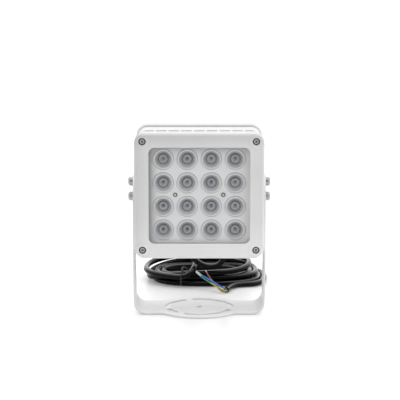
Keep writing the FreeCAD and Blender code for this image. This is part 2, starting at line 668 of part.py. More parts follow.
def make_plate_screws():
    """Pan-head screws that hold the plate, through the board, to the floor of the housing's well."""
    screws = []
    shank, head = PLATE_SCREW_DIAMETER / 2, PLATE_SCREW_HEAD_DIAMETER / 2
    top = PLATE_SCREW_LENGTH + PLATE_SCREW_HEAD_HEIGHT
    profile = ((0, 0), (shank, 0), (shank, PLATE_SCREW_LENGTH), (head, PLATE_SCREW_LENGTH),
               (head, top - PAN_HEAD_BEVEL[1]), (head - PAN_HEAD_BEVEL[0], top), (0, top))
    socket_depth = PLATE_SCREW_HEAD_HEIGHT * PLATE_SCREW_SOCKET_DEPTH_SHARE
    for x, z in plate_screw_places():
        tip = Base.Vector(x, depth_y(PLATE_FACE_DEPTH + PLATE_SCREW_LENGTH), z)
        screw = turned(profile, tip, -Y_AXIS)
        socket_base = Base.Vector(x, depth_y(PLATE_FACE_DEPTH - PLATE_SCREW_HEAD_HEIGHT + socket_depth), z)
        screws.append(screw.cut(hex_rod(PLATE_SCREW_SOCKET, PLATE_SCREW_HEAD_HEIGHT, socket_base, -Y_AXIS)))
    return Part.makeCompound(screws)


def make_plate_posts():
    """Two tubes that keep the plate off the board where its screws pull on it."""
    posts = []
    front = PLATE_FACE_DEPTH + PLATE_THICKNESS
    for x, z in plate_screw_places():
        outer, inner = PLATE_SCREW_DIAMETER / 2 + PLATE_POST_WALL, PLATE_SCREW_DIAMETER / 2 + SCREW_CLEARANCE
        tube = rod(x, z, outer, front, BOARD_FRONT_DEPTH)
        posts.append(tube.cut(rod(x, z, inner, front, BOARD_FRONT_DEPTH)))
    return Part.makeCompound(posts)


def make_emitter_board():
    spare = 2 * FIT_CLEARANCE
    back = BOARD_FRONT_DEPTH + BOARD_THICKNESS
    shape = rounded_block(WELL_WIDTH - spare, WELL_HEIGHT - spare, WELL_RADIUS - FIT_CLEARANCE,
                          BOARD_FRONT_DEPTH, back)
    for x, z in plate_screw_places():
        shape = shape.cut(rod(x, z, PLATE_SCREW_DIAMETER / 2 + SCREW_CLEARANCE, BOARD_FRONT_DEPTH, back))
    half = EMITTER_BASE / 2
    dome_depth = BOARD_FRONT_DEPTH - EMITTER_BASE_HEIGHT
    for x, z in lens_places():
        corner = Base.Vector(x - half, depth_y(dome_depth), z - half)
        package = Part.makeBox(EMITTER_BASE, EMITTER_BASE_HEIGHT, EMITTER_BASE, corner)
        centre = Base.Vector(x, depth_y(dome_depth), z)
        dome = Part.makeSphere(EMITTER_DOME_RADIUS, centre, -Y_AXIS, 0, 90, 360)
        shape = shape.fuse(package).fuse(dome)
    return shape


def make_thermal_pad():
    spare = 2 * FIT_CLEARANCE
    front = BOARD_FRONT_DEPTH + BOARD_THICKNESS
    shape = rounded_block(WELL_WIDTH - spare, WELL_HEIGHT - spare, WELL_RADIUS - FIT_CLEARANCE,
                          front, WELL_FLOOR_DEPTH)
    for x, z in plate_screw_places():
        shape = shape.cut(rod(x, z, PLATE_SCREW_DIAMETER / 2 + SCREW_CLEARANCE, front, WELL_FLOOR_DEPTH))
    return shape


# Housing


def body_gasket_block(play):
    """Ring in the housing's front face, round the glass wall, where the body gasket lies."""
    near = FIT_CLEARANCE + BODY_GASKET_FROM_RECESS - play
    far = FIT_CLEARANCE + BODY_GASKET_FROM_RECESS + BODY_GASKET_WIDTH + play
    inner, outer = ((GLASS_WIDTH + 2 * reach, GLASS_HEIGHT + 2 * reach, GLASS_RADIUS + reach)
                    for reach in (near, far))
    return ring_block(outer, inner, BEZEL_DEPTH, BEZEL_DEPTH + BODY_GASKET_THICKNESS)


def side_boss(side):
    """Flat-faced boss that the leg is clamped against, round both side screws."""
    start = HOUSING_WIDTH / 2 - SIDE_BOSS_ROOT
    length = BRACKET_HALF_INNER - start
    direction = X_AXIS * side
    low = Part.makeCylinder(SIDE_BOSS_RADIUS, length, Base.Vector(side * start, 0, PIVOT_HEIGHT), direction)
    high = Part.makeCylinder(SIDE_BOSS_RADIUS, length, Base.Vector(side * start, 0, LOCK_HEIGHT), direction)
    corner = Base.Vector(min(side * start, side * BRACKET_HALF_INNER), -SIDE_BOSS_RADIUS, PIVOT_HEIGHT)
    middle = Part.makeBox(length, 2 * SIDE_BOSS_RADIUS, LOCK_RADIUS, corner)
    return low.fuse(high).fuse(middle)


def air_shafts():
    """Upright shafts through the casting, open at its underside and its top."""
    shafts = []
    for i in range(AIR_SHAFT_COUNT):
        x = (i - (AIR_SHAFT_COUNT - 1) / 2) * AIR_SHAFT_PITCH
        corner = Base.Vector(x - AIR_SHAFT_WIDTH / 2, depth_y(AIR_SHAFT_FRONT_DEPTH),
                             HEAD_Z - HOUSING_HEIGHT / 2 - 1)
        shafts.append(Part.makeBox(AIR_SHAFT_WIDTH, AIR_SHAFT_DEPTH, HOUSING_HEIGHT + 2, corner))
    return shafts


def make_housing():
    shape = rounded_block(HOUSING_WIDTH, HOUSING_HEIGHT, HOUSING_CORNER_RADIUS,
                          BEZEL_DEPTH, HOUSING_REAR_DEPTH)
    shape = shape.fuse(rounded_block(GLASS_WIDTH, GLASS_HEIGHT, GLASS_RADIUS,
                                     GLASS_BACK_DEPTH, BEZEL_DEPTH))
    for side in (-1, 1):
        shape = shape.fuse(side_boss(side))
    shape = shape.cut(rounded_block(WELL_WIDTH, WELL_HEIGHT, WELL_RADIUS,
                                    GLASS_BACK_DEPTH, WELL_FLOOR_DEPTH))
    shape = shape.cut(rounded_block(DRIVER_CHAMBER_WIDTH, DRIVER_CHAMBER_HEIGHT, DRIVER_CHAMBER_RADIUS,
                                    CHAMBER_FRONT_DEPTH, HOUSING_REAR_DEPTH))
    for x, z in four_corners(DRIVER_SCREW_SPACING_X, DRIVER_SCREW_SPACING_Z):
        shape = shape.fuse(rod(x, z, DRIVER_POST_RADIUS, CHAMBER_FRONT_DEPTH, DRIVER_BOARD_DEPTH))
    for shaft in air_shafts():
        shape = shape.cut(shaft)
    shape = shape.cut(body_gasket_block(BODY_GASKET_PLAY))
    return cut_housing_holes(shape)


def cut_housing_holes(shape):
    """Screw holes in the casting: bezel, rear cover, plate, driver board and both sides."""
    radius = CASE_SCREW_DIAMETER / 2 + SCREW_CLEARANCE
    bezel_end = COUNTERBORE_DEPTH + CASE_SCREW_LENGTH + HOLE_SPARE_DEPTH
    for x, z in four_corners(BEZEL_SCREW_SPACING_X, BEZEL_SCREW_SPACING_Z):
        shape = shape.cut(rod(x, z, radius, BEZEL_DEPTH, bezel_end))
    rear_start = HEAD_REAR_DEPTH - REAR_SCREW_SEAT - CASE_SCREW_LENGTH - HOLE_SPARE_DEPTH
    for x, z in four_corners(REAR_SCREW_SPACING_X, REAR_SCREW_SPACING_Z):
        shape = shape.cut(rod(x, z, radius, rear_start, HOUSING_REAR_DEPTH))
    for x, z in four_corners(DRIVER_SCREW_SPACING_X, DRIVER_SCREW_SPACING_Z):
        shape = shape.cut(rod(x, z, PLATE_SCREW_DIAMETER / 2 + SCREW_CLEARANCE,
                              DRIVER_BOARD_DEPTH - DRIVER_SCREW_LENGTH, DRIVER_BOARD_DEPTH))
    depth = SIDE_SCREW_GRIP + HOLE_SPARE_DEPTH
    radius = SIDE_SCREW_DIAMETER / 2 + PIVOT_CLEARANCE
    for side in (-1, 1):
        for z in (PIVOT_HEIGHT, LOCK_HEIGHT):
            mouth = Base.Vector(side * BRACKET_HALF_INNER, 0, z)
            shape = shape.cut(Part.makeCylinder(radius, depth, mouth, X_AXIS * -side))
    return shape


def make_body_gasket():
    return body_gasket_block(0)


# Rear cover


def make_rear_gasket():
    outer = (HOUSING_WIDTH - 2 * REAR_GROOVE_DEPTH, HOUSING_HEIGHT - 2 * REAR_GROOVE_DEPTH,
             HOUSING_CORNER_RADIUS - REAR_GROOVE_DEPTH)
    inner = (DRIVER_CHAMBER_WIDTH, DRIVER_CHAMBER_HEIGHT, DRIVER_CHAMBER_RADIUS)
    shape = ring_block(outer, inner, HOUSING_REAR_DEPTH, REAR_COVER_FRONT_DEPTH)
    for x, z in four_corners(REAR_SCREW_SPACING_X, REAR_SCREW_SPACING_Z):
        shape = shape.cut(rod(x, z, CASE_SCREW_DIAMETER / 2 + SCREW_CLEARANCE,
                              HOUSING_REAR_DEPTH, REAR_COVER_FRONT_DEPTH))
    return shape


def make_rear_cover():
    front, back = REAR_COVER_FRONT_DEPTH, HEAD_REAR_DEPTH
    shape = rounded_block(REAR_COVER_WIDTH, REAR_COVER_HEIGHT, REAR_COVER_CORNER_RADIUS, front, back)
    rims = {front: REAR_COVER_FRONT_EDGE_RADIUS, back: REAR_COVER_BACK_EDGE_RADIUS}
    for depth, radius in rims.items():
        edges = [e for e in shape.Edges
                 if abs(e.BoundBox.YMin - depth_y(depth)) < 0.001 and e.BoundBox.YLength < 0.001]
        shape = shape.makeFillet(radius, edges)
    shape = shape.cut(rounded_block(DRIVER_CHAMBER_WIDTH, DRIVER_CHAMBER_HEIGHT, DRIVER_CHAMBER_RADIUS,
                                    front, back - REAR_COVER_WALL))
    for x, z in four_corners(REAR_SCREW_SPACING_X, REAR_SCREW_SPACING_Z):
        shape = shape.cut(rod(x, z, COUNTERBORE_DIAMETER / 2, back - REAR_SCREW_SEAT, back))
        shape = shape.cut(rod(x, z, CASE_SCREW_DIAMETER / 2 + SCREW_CLEARANCE, front, back))
    thread = GLAND_THREAD_DIAMETER / 2 + SCREW_CLEARANCE
    return shape.cut(rod(GLAND_X, GLAND_Z, thread, front, back))


def make_rear_cover_screws():
    seat = HEAD_REAR_DEPTH - REAR_SCREW_SEAT
    places = four_corners(REAR_SCREW_SPACING_X, REAR_SCREW_SPACING_Z)
    return Part.makeCompound([case_screw(x, z, seat, False) for x, z in places])


# Driver


def make_driver_board():
    front, back = DRIVER_BOARD_DEPTH, DRIVER_BOARD_DEPTH + DRIVER_BOARD_THICKNESS
    shape = rounded_block(DRIVER_BOARD_WIDTH, DRIVER_BOARD_HEIGHT, DRIVER_BOARD_CORNER_RADIUS, front, back)
    for x, z in four_corners(DRIVER_SCREW_SPACING_X, DRIVER_SCREW_SPACING_Z):
        shape = shape.cut(rod(x, z, PLATE_SCREW_DIAMETER / 2 + SCREW_CLEARANCE, front, back))
    return shape


def make_driver_screws():
    """Four screws that hold the driver board to the posts in its chamber."""
    shank, head = PLATE_SCREW_DIAMETER / 2, PLATE_SCREW_HEAD_DIAMETER / 2
    length = DRIVER_BOARD_THICKNESS + DRIVER_SCREW_LENGTH - HOLE_SPARE_DEPTH
    top = length + PLATE_SCREW_HEAD_HEIGHT
    profile = ((0, 0), (shank, 0), (shank, length), (head, length),
               (head, top - PAN_HEAD_BEVEL[1]), (head - PAN_HEAD_BEVEL[0], top), (0, top))
    tip = DRIVER_BOARD_DEPTH + DRIVER_BOARD_THICKNESS - length
    screws = []
    for x, z in four_corners(DRIVER_SCREW_SPACING_X, DRIVER_SCREW_SPACING_Z):
        screws.append(turned(profile, Base.Vector(x, depth_y(tip), z), Y_AXIS))
    return Part.makeCompound(screws)


def driver_block(x, z, size):
    """Component block that stands on the back of the driver board."""
    width, depth, height = size
    start = DRIVER_BOARD_DEPTH + DRIVER_BOARD_THICKNESS
    corner = Base.Vector(x - width / 2, depth_y(start), z - height / 2)
    return Part.makeBox(width, depth, height, corner)


def make_transformer():
    block = driver_block(TRANSFORMER_X, HEAD_Z + TRANSFORMER_Z, TRANSFORMER_SIZE)
    upright = [e for e in block.Edges if e.BoundBox.YLength > TRANSFORMER_SIZE[1] / 2]
    return block.makeFillet(TRANSFORMER_EDGE_RADIUS, upright)


def make_capacitor(x):
    """Can capacitor, standing on the board on its crimped foot."""
    start = DRIVER_BOARD_DEPTH + DRIVER_BOARD_THICKNESS
    r, h = CAPACITOR_DIAMETER / 2, CAPACITOR_HEIGHT
    crimp = [(r - inset, rise) for inset, rise in CAPACITOR_CRIMP]
    bevel = CAPACITOR_TOP_BEVEL
    profile = ((0, 0), (r, 0), *crimp, (r, h - bevel), (r - bevel, h), (0, h))
    return turned(profile, Base.Vector(x, depth_y(start), HEAD_Z + CAPACITOR_Z), Y_AXIS)


def make_terminal_block():
    """Three-way terminal behind the gland, open on top for the cable's end."""
    block = driver_block(GLAND_X, GLAND_Z, (TERMINAL_WIDTH, TERMINAL_DEPTH, TERMINAL_HEIGHT))
    start = DRIVER_BOARD_DEPTH + DRIVER_BOARD_THICKNESS
    for i in (-1, 0, 1):
        base = Base.Vector(GLAND_X + i * TERMINAL_WIDTH / 3, depth_y(start + TERMINAL_DEPTH / 2),
                           GLAND_Z + TERMINAL_HEIGHT / 2 - TERMINAL_HOLE_DEPTH)
        block = block.cut(Part.makeCylinder(TERMINAL_HOLE_RADIUS, TERMINAL_HOLE_DEPTH, base, Z_AXIS))
    return block


# Gland


def gland_depths():
    """Depths where the gland's hexagon, collar and nut end, from the cover outwards."""
    hex_end = HEAD_REAR_DEPTH + GLAND_HEX_LENGTH
    return hex_end, hex_end + GLAND_COLLAR_LENGTH, hex_end + GLAND_NUT_LENGTH


def make_gland_body():
    hex_end, collar_end, _ = gland_depths()
    base = Base.Vector(GLAND_X, depth_y(HEAD_REAR_DEPTH), GLAND_Z)
    shape = hex_rod(GLAND_HEX, GLAND_HEX_LENGTH, base, Y_AXIS)
    inner_end = HEAD_REAR_DEPTH - GLAND_THREAD_LENGTH
    shape = shape.fuse(rod(GLAND_X, GLAND_Z, GLAND_THREAD_DIAMETER / 2, inner_end, HEAD_REAR_DEPTH))
    shape = shape.fuse(rod(GLAND_X, GLAND_Z, GLAND_COLLAR_DIAMETER / 2, hex_end, collar_end))
    bore = CABLE_DIAMETER / 2 + SCREW_CLEARANCE
    return shape.cut(rod(GLAND_X, GLAND_Z, bore, inner_end, collar_end))


def make_gland_locknut():
    front = HEAD_REAR_DEPTH - REAR_COVER_WALL - GLAND_LOCKNUT_THICKNESS
    base = Base.Vector(GLAND_X, depth_y(front), GLAND_Z)
    nut = hex_rod(GLAND_LOCKNUT_HEX, GLAND_LOCKNUT_THICKNESS, base, Y_AXIS)
    radius = GLAND_THREAD_DIAMETER / 2 + SCREW_CLEARANCE
    return nut.cut(rod(GLAND_X, GLAND_Z, radius, front, front + GLAND_LOCKNUT_THICKNESS))


def make_gland_seal():
    _, collar_end, nut_end = gland_depths()
    bore = CABLE_DIAMETER / 2 + SCREW_CLEARANCE
    back = nut_end - GLAND_NUT_WALL
    radius = GLAND_COLLAR_DIAMETER / 2
    return rod(GLAND_X, GLAND_Z, radius, collar_end, back).cut(rod(GLAND_X, GLAND_Z, bore, collar_end, back))


def make_gland_nut():
    """Domed clamping nut with ribs round it, over the seal."""
    hex_end, _, nut_end = gland_depths()
    r, h = GLAND_NUT_DIAMETER / 2, nut_end - hex_end
    dome = [(r - inset, h * share) for inset, share in GLAND_DOME]
    profile = ((0, 0), (r, 0), *dome, (0, h))
    shape = turned(profile, Base.Vector(GLAND_X, depth_y(hex_end), GLAND_Z), Y_AXIS)
    reach = r + GLAND_RIB_OFFSET
    for i in range(GLAND_NUT_RIBS):
        a = 2 * math.pi * i / GLAND_NUT_RIBS
        x, z = GLAND_X + reach * math.cos(a), GLAND_Z + reach * math.sin(a)
        shape = shape.cut(rod(x, z, GLAND_RIB_RADIUS, hex_end, nut_end))
    chamber = GLAND_COLLAR_DIAMETER / 2 + SCREW_CLEARANCE
    shape = shape.cut(rod(GLAND_X, GLAND_Z, chamber, hex_end, nut_end - GLAND_NUT_WALL))
    return shape.cut(rod(GLAND_X, GLAND_Z, CABLE_DIAMETER / 2 + SCREW_CLEARANCE, hex_end, nut_end))


# Cable


def cord_wire(points):
    """Straight runs joined by tangent arcs, each as large as its two runs allow."""
    spots = [Base.Vector(*p) for p in points]
    edges, radii = [], []
    start = spots[0]
    for before, corner, after in zip(spots, spots[1:], spots[2:]):
        run = min((corner - before).Length, (after - corner).Length)
        into = (corner - before).normalize()
        out = (after - corner).normalize()
        half_turn = into.getAngle(out) / 2
        reach = ARC_SHARE_OF_RUN * run
        first, last = corner - into * reach, corner + out * reach
        radius = reach / math.tan(half_turn)
        radii.append(round(radius, 1))
        middle = (out - into).normalize()
        centre = corner + middle * (radius / math.cos(half_turn))
        edges.append(Part.makeLine(start, first))
        edges.append(Part.Arc(first, centre - middle * radius, last).toShape())
        start = last
    edges.append(Part.makeLine(start, spots[-1]))
    return Part.Wire(edges), radii


def cord_tube(name, points, diameter):
    """Tube along a cord's route, with its radii and its volume against section times length."""
    wire, radii = cord_wire(points)
    first = wire.Edges[0]
    profile = Part.Wire(Part.makeCircle(diameter / 2, first.Vertexes[0].Point, first.tangentAt(0)))
    tube = wire.makePipeShell([profile], True, False)
    expected = math.pi * diameter ** 2 / 4 * wire.Length
    print(name, "length", round(wire.Length, 1), "radii", radii,
          "volume share", round(tube.Volume / expected, 4), "valid", tube.isValid())
    return tube


def make_cable_inner_end():
    """The cable inside the gland, from its nut to the terminal block."""
    _, _, nut_end = gland_depths()
    start = DRIVER_BOARD_DEPTH + DRIVER_BOARD_THICKNESS + TERMINAL_DEPTH
    return rod(GLAND_X, GLAND_Z, CABLE_DIAMETER / 2, start, nut_end)


def lead_route():
    """The cable's route outside the lamp, from the end of the gland's nut to the coil."""
    _, _, nut_end = gland_depths()
    exit_y = depth_y(nut_end)
    exit_run = ((GLAND_X, exit_y, GLAND_Z), (GLAND_X, exit_y + LEAD_EXIT_RUN, GLAND_Z))
    return exit_run + LEAD_ROUTE_BEYOND_EXIT


def make_cable_coil():
    """Outer shape of the coil: an oval ring that lies on the floor behind the bracket."""
    cx, cy = COIL_CENTRE
    z = COIL_SECTION_HEIGHT / 2
    radius = (COIL_LENGTH_Y - COIL_SECTION_WIDTH) / 2
    half = (COIL_LENGTH_X - COIL_LENGTH_Y) / 2

    def p(x, y):
        return Base.Vector(cx + x, cy + y, z)

    path = Part.Wire([
        Part.makeLine(p(-half, -radius), p(half, -radius)),
        Part.Arc(p(half, -radius), p(half + radius, 0), p(half, radius)).toShape(),
        Part.makeLine(p(half, radius), p(-half, radius)),
        Part.Arc(p(-half, radius), p(-half - radius, 0), p(-half, -radius)).toShape(),
    ])
    section = Part.Ellipse(p(-half, -radius), COIL_SECTION_WIDTH / 2, COIL_SECTION_HEIGHT / 2).toShape()
    section.rotate(p(-half, -radius), Z_AXIS, 90)
    section.rotate(p(-half, -radius), Y_AXIS, 90)
    return path.makePipeShell([Part.Wire(section)], True, False)


def make_cable_tie():
    """Wire tie round the front of the coil; its lower side is squeezed into the coil's underside."""
    y = COIL_CENTRE[1] - (COIL_LENGTH_Y - COIL_SECTION_WIDTH) / 2
    half_height = (COIL_SECTION_HEIGHT + TIE_CLEARANCE) / 2
    half_width = COIL_SECTION_WIDTH / 2 + TIE_CLEARANCE + TIE_DIAMETER / 2
    centre = Base.Vector(TIE_X, y, half_height + TIE_DIAMETER / 2)
    loop = Part.Ellipse(centre, half_width, half_height).toShape()
    loop.rotate(centre, Z_AXIS, 90)
    loop.rotate(centre, Y_AXIS, 90)
    start = loop.valueAt(loop.FirstParameter)
    section = Part.Wire(Part.makeCircle(TIE_DIAMETER / 2, start, loop.tangentAt(loop.FirstParameter)))
    return Part.Wire(loop).makePipeShell([section], True, False)


def export(name, shape):
    shape.exportStep("parts/" + name + ".step")


def main():
    os.makedirs("parts", exist_ok=True)
    export("bracket", make_bracket())
    for side, word in ((-1, "left"), (1, "right")):
        export("pivot_screw_" + word, make_side_screw(side, PIVOT_HEIGHT))
        export("lock_screw_" + word, make_side_screw(side, LOCK_HEIGHT))
        export("flat_washers_" + word, make_flat_washers(side))
        export("spring_washers_" + word, make_spring_washers(side))

    export("bezel", make_bezel())
    export("bezel_screws", make_bezel_screws())
    export("window_gasket", make_window_gasket())
    export("window_glass", make_window_glass())
    for number, (x, z) in enumerate(lens_places(), 1):
        export("lens_%02d" % number, make_lens(x, z))
    export("lens_plate", make_lens_plate())
    export("plate_screws", make_plate_screws())
    export("plate_posts", make_plate_posts())
    export("emitter_board", make_emitter_board())
    export("thermal_pad", make_thermal_pad())

    export("housing", make_housing())
    export("body_gasket", make_body_gasket())
    export("rear_gasket", make_rear_gasket())
    export("rear_cover", make_rear_cover())
    export("rear_cover_screws", make_rear_cover_screws())

    export("driver_board", make_driver_board())
    export("driver_screws", make_driver_screws())
    export("transformer", make_transformer())
    for number, x in enumerate(CAPACITOR_X, 1):
        export("capacitor_%d" % number, make_capacitor(x))
    export("terminal_block", make_terminal_block())

    export("gland_body", make_gland_body())
    export("gland_locknut", make_gland_locknut())
    export("gland_seal", make_gland_seal())
    export("gland_nut", make_gland_nut())

    export("cable_inner_end", make_cable_inner_end())
    export("cable_lead", cord_tube("cable_lead", lead_route(), CABLE_DIAMETER))
    export("cable_coil", make_cable_coil())
    export("cable_tail", cord_tube("cable_tail", TAIL_ROUTE, CABLE_DIAMETER))
    export("cable_tie", make_cable_tie())
    for name, route in CORE_ROUTES.items():
        export(name, cord_tube(name, route, CORE_DIAMETER))


main()
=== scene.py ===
# %% [markdown]
# # Dressing an infrared illuminator
# The solid model comes first and fixes every size. It is loaded as a frame: each of its solids is an
# object at the origin with its place in its mesh. The lenses, cores and tie made here are attached to
# one of two bodies, the bracket or the head. This lesson then gives those solids their finishes, replaces
# the few whose look needs more than a solid, and lays out the supply cable. All lengths are in metres, +Z
# is up, and the lamp looks along -Y.

# %% Load the solid model
import math

import bpy
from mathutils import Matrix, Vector


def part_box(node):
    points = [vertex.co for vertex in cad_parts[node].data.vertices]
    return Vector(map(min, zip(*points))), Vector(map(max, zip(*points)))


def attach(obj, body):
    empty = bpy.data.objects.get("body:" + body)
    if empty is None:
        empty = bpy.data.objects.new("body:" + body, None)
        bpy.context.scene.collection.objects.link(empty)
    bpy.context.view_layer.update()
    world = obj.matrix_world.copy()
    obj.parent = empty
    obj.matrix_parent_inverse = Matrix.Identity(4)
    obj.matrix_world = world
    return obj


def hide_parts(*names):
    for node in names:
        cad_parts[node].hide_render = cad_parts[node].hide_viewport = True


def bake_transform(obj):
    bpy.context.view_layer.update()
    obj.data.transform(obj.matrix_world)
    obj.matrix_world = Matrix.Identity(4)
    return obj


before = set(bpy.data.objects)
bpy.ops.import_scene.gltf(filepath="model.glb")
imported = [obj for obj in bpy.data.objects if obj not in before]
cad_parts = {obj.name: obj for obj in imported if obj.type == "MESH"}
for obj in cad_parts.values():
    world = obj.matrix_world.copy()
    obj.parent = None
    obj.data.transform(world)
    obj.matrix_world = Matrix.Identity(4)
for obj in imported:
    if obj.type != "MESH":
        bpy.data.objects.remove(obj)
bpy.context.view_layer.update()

MM = 0.001
CM = 10 * MM
DM = 100 * MM


# %% [markdown]
# ## The camera
# The photograph was taken from straight in front and about 11 degrees above, with a long lens. A long
# lens far away keeps the case's sides nearly parallel, as they are in the photograph. The camera aims
# at the middle of the bezel's front, and a small shift puts the lamp where it sits in the frame.

# %% Camera
AIM = Vector((0.0, -36.0, 124.6)) * MM
ELEVATION = math.radians(11.2)
DISTANCE = 2.4
camera_data = bpy.data.cameras.new("camera")
camera_data.sensor_width = 36.0
camera_data.lens = 216.0
camera_data.shift_x = 0.0019
camera_data.shift_y = -0.011
camera = bpy.data.objects.new("camera", camera_data)
camera.location = AIM + Vector((0.0, -math.cos(ELEVATION), math.sin(ELEVATION))) * DISTANCE
camera.rotation_euler = (math.radians(90.0) - ELEVATION, 0.0, 0.0)
bpy.context.scene.collection.objects.link(camera)
bpy.context.scene.camera = camera
bpy.context.scene.view_settings.view_transform = "Standard"
print("camera at", [round(v, 4) for v in camera.location])


# %% [markdown]
# ## Writing shader maths in Python
# A material is a graph of nodes. Wiring each Math node by hand hides the formula, so a small class
# wraps a socket and lets Python's own signs add the nodes: `1 - mask * 0.3` builds two of them. The
# reflected forms, such as `__rsub__`, serve sums that start with a plain number.

# %% Sockets that can be added and multiplied
class Term:
    """A socket of a material's graph that takes part in Python sums."""

    def __init__(self, graph, socket):
        self.graph = graph
        self.socket = socket

    def maths(self, operation, first, second):
        return self.graph.node("ShaderNodeMath", {"operation": operation}, {0: first, 1: second})

    def __add__(self, other):
        return self.maths("ADD", self, other)

    def __radd__(self, other):
        return self.maths("ADD", other, self)

    def __sub__(self, other):
        return self.maths("SUBTRACT", self, other)

    def __rsub__(self, other):
        return self.maths("SUBTRACT", other, self)

    def __mul__(self, other):
        return self.maths("MULTIPLY", self, other)

    def __rmul__(self, other):
        return self.maths("MULTIPLY", other, self)

    def __gt__(self, other):
        return self.maths("GREATER_THAN", self, other)


# %% [markdown]
# Every other node comes from one method that takes the node's type, its settings and its inputs. The
# short methods below it name the few kinds of node that come back again and again.

# %% A graph and its nodes
class Graph:
    """A node tree and the one way to add a node to it."""

    def __init__(self, tree):
        self.tree = tree

    def node(self, kind, settings, inputs, output=0):
        made = self.tree.nodes.new(kind)
        for key, value in settings.items():
            if key == "stops":
                ramp = made.color_ramp.elements
                while len(ramp) < len(value):
                    ramp.new(0.5)
                for stop, (position, shade) in zip(ramp, value):
                    stop.position = position
                    stop.color = (shade, shade, shade, 1.0)
            else:
                setattr(made, key, value)
        for key, value in inputs.items():
            self.feed(made.inputs[key], value)
        return Term(self, made.outputs[output])

    def feed(self, socket, value):
        """Links a term to a socket, or sets the socket to a plain value."""
        if isinstance(value, Term):
            self.tree.links.new(value.socket, socket)
        elif isinstance(value, tuple) and len(value) == 3 and socket.type == "RGBA":
            socket.default_value = value + (1.0,)
        else:
            socket.default_value = value

    def part(self, vector, axis):
        """One of a vector's three parts."""
        return self.node("ShaderNodeSeparateXYZ", {}, {0: vector}, axis)

    def ramp(self, stops, place):
        """A grey that runs through stops, each a place from 0 to 1 and a shade."""
        return self.node("ShaderNodeValToRGB", {"stops": stops}, {0: place})

    def step(self, value, start, end, before, after):
        """A smooth step from one level to another."""
        return self.node("ShaderNodeMapRange", {"interpolation_type": "SMOOTHSTEP"}, {
            "Value": value, "From Min": start, "From Max": end, "To Min": before, "To Max": after})

    def vector_maths(self, operation, first, second=(0.0, 0.0, 0.0), output=0):
        return self.node("ShaderNodeVectorMath", {"operation": operation}, {0: first, 1: second}, output)


# %% [markdown]
# A finish is the graph of one material. Its patterns read Object coordinates, which are metres on the
# lamp itself, so a noise with a scale of 2000 has two thousand cells in a metre. A bump's distance is
# the real height of its crests.

# %% A material as a finish
BLACK = (0.0, 0.0, 0.0)
WHITE = (1.0, 1.0, 1.0)


class Finish(Graph):
    """One material, built up node by node round its Principled shader."""

    def __init__(self, name):
        self.material = bpy.data.materials.new(name)
        self.material.use_nodes = True
        super().__init__(self.material.node_tree)
        self.shader = self.tree.nodes["Principled BSDF"]
        self.place = self.node("ShaderNodeTexCoord", {}, {}, "Object")

    def uv_map(self):
        """The place on the piece's own UV map."""
        return self.node("ShaderNodeTexCoord", {}, {}, "UV")

    def noise(self, scale, detail, place=None):
        return self.node("ShaderNodeTexNoise", {}, {
            "Vector": place or self.place, "Scale": scale, "Detail": detail})

    def tint(self, factor, first, second):
        """A colour between two colours, whose sockets the Mix node tells apart only by number."""
        return self.node("ShaderNodeMix", {"data_type": "RGBA"}, {0: factor, 6: first, 7: second}, 2)

    def bump(self, height, distance, strength=1.0):
        return self.node("ShaderNodeBump", {}, {
            "Height": height, "Distance": distance, "Strength": strength})

    def surface(self, **sockets):
        """Feeds the shader's sockets, named in small letters, and returns the material."""
        for name, value in sockets.items():
            self.feed(self.shader.inputs[name.replace("_", " ").title().replace("Ior", "IOR")], value)
        return self.material


def dress(material, *nodes):
    """Gives solids of the frame a finish."""
    for node in nodes:
        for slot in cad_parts[node].material_slots:
            slot.material = material
    print(material.name, "on", ", ".join(nodes))


# %% [markdown]
# ## White powder coat
# The castings and the bracket are powder coated. Powder melts into a satin film with a very fine
# orange-peel ripple, about half a millimetre from crest to crest, and collects a little grey dust
# where air moves least. A single white would look like paper, so two noises do it: a fine one bends
# the normal and changes the gloss, and a broad one shifts the white by a few percent.

# %% Powder coat
PEEL_SCALE = 1900.0
DUST_SCALE = 38.0
CASTING_PEEL = 0.035 * MM
BRACKET_PEEL = 0.025 * MM


class PowderCoat(Finish):
    """A satin film with a fine ripple and broad patches of dust."""

    def __init__(self, name):
        super().__init__(name)
        self.peel = self.noise(PEEL_SCALE, 2.0)
        self.dust = self.noise(DUST_SCALE, 3.0)

    def spray(self, paint, height, distance):
        """Lays the film on: its colour, and a bump as high as height times distance."""
        return self.surface(
            base_color=paint,
            roughness=0.36 + 0.10 * self.peel + 0.05 * self.dust,
            normal=self.bump(height, distance),
            specular_ior_level=0.45,
        )


def plain_coat(name, dull, bright, ripple):
    """An even coat whose white drifts with the dust."""
    coat = PowderCoat(name)
    return coat.spray(coat.tint(coat.dust, dull, bright), height=coat.peel, distance=ripple)


casting_white = plain_coat("casting_white", (0.77, 0.765, 0.77), (0.84, 0.835, 0.84), CASTING_PEEL)
# The bracket's coat is painted whiter than the castings': painted light that lifts its base in the head's
# shade
bracket_white = plain_coat("bracket_white", (0.90, 0.90, 0.90), (0.95, 0.95, 0.95), BRACKET_PEEL)
dress(casting_white, "housing", "rear_cover")
dress(bracket_white, "bracket")


# %% [markdown]
# ## Distances as patterns
# Much of what varies on the case depends on a distance: from the nearest screw, from an edge, from a
# corner. Equal screws stand in a rectangle, so folding the coordinates about its middle with an
# absolute value puts all of them in one place, and one length serves them all.

# %% Distances from screws and edges
# A colour ramp ends at 1, and the bezel is 1.3 decimetres wide
RAMP_SCALE = 0.7


def beyond(finish, middle, reach):
    """How far a place lies beyond a box about a middle, on each axis by itself."""
    folded = finish.vector_maths("ABSOLUTE", finish.vector_maths("SUBTRACT", finish.place, tuple(middle)))
    return finish.vector_maths("SUBTRACT", folded, tuple(reach))


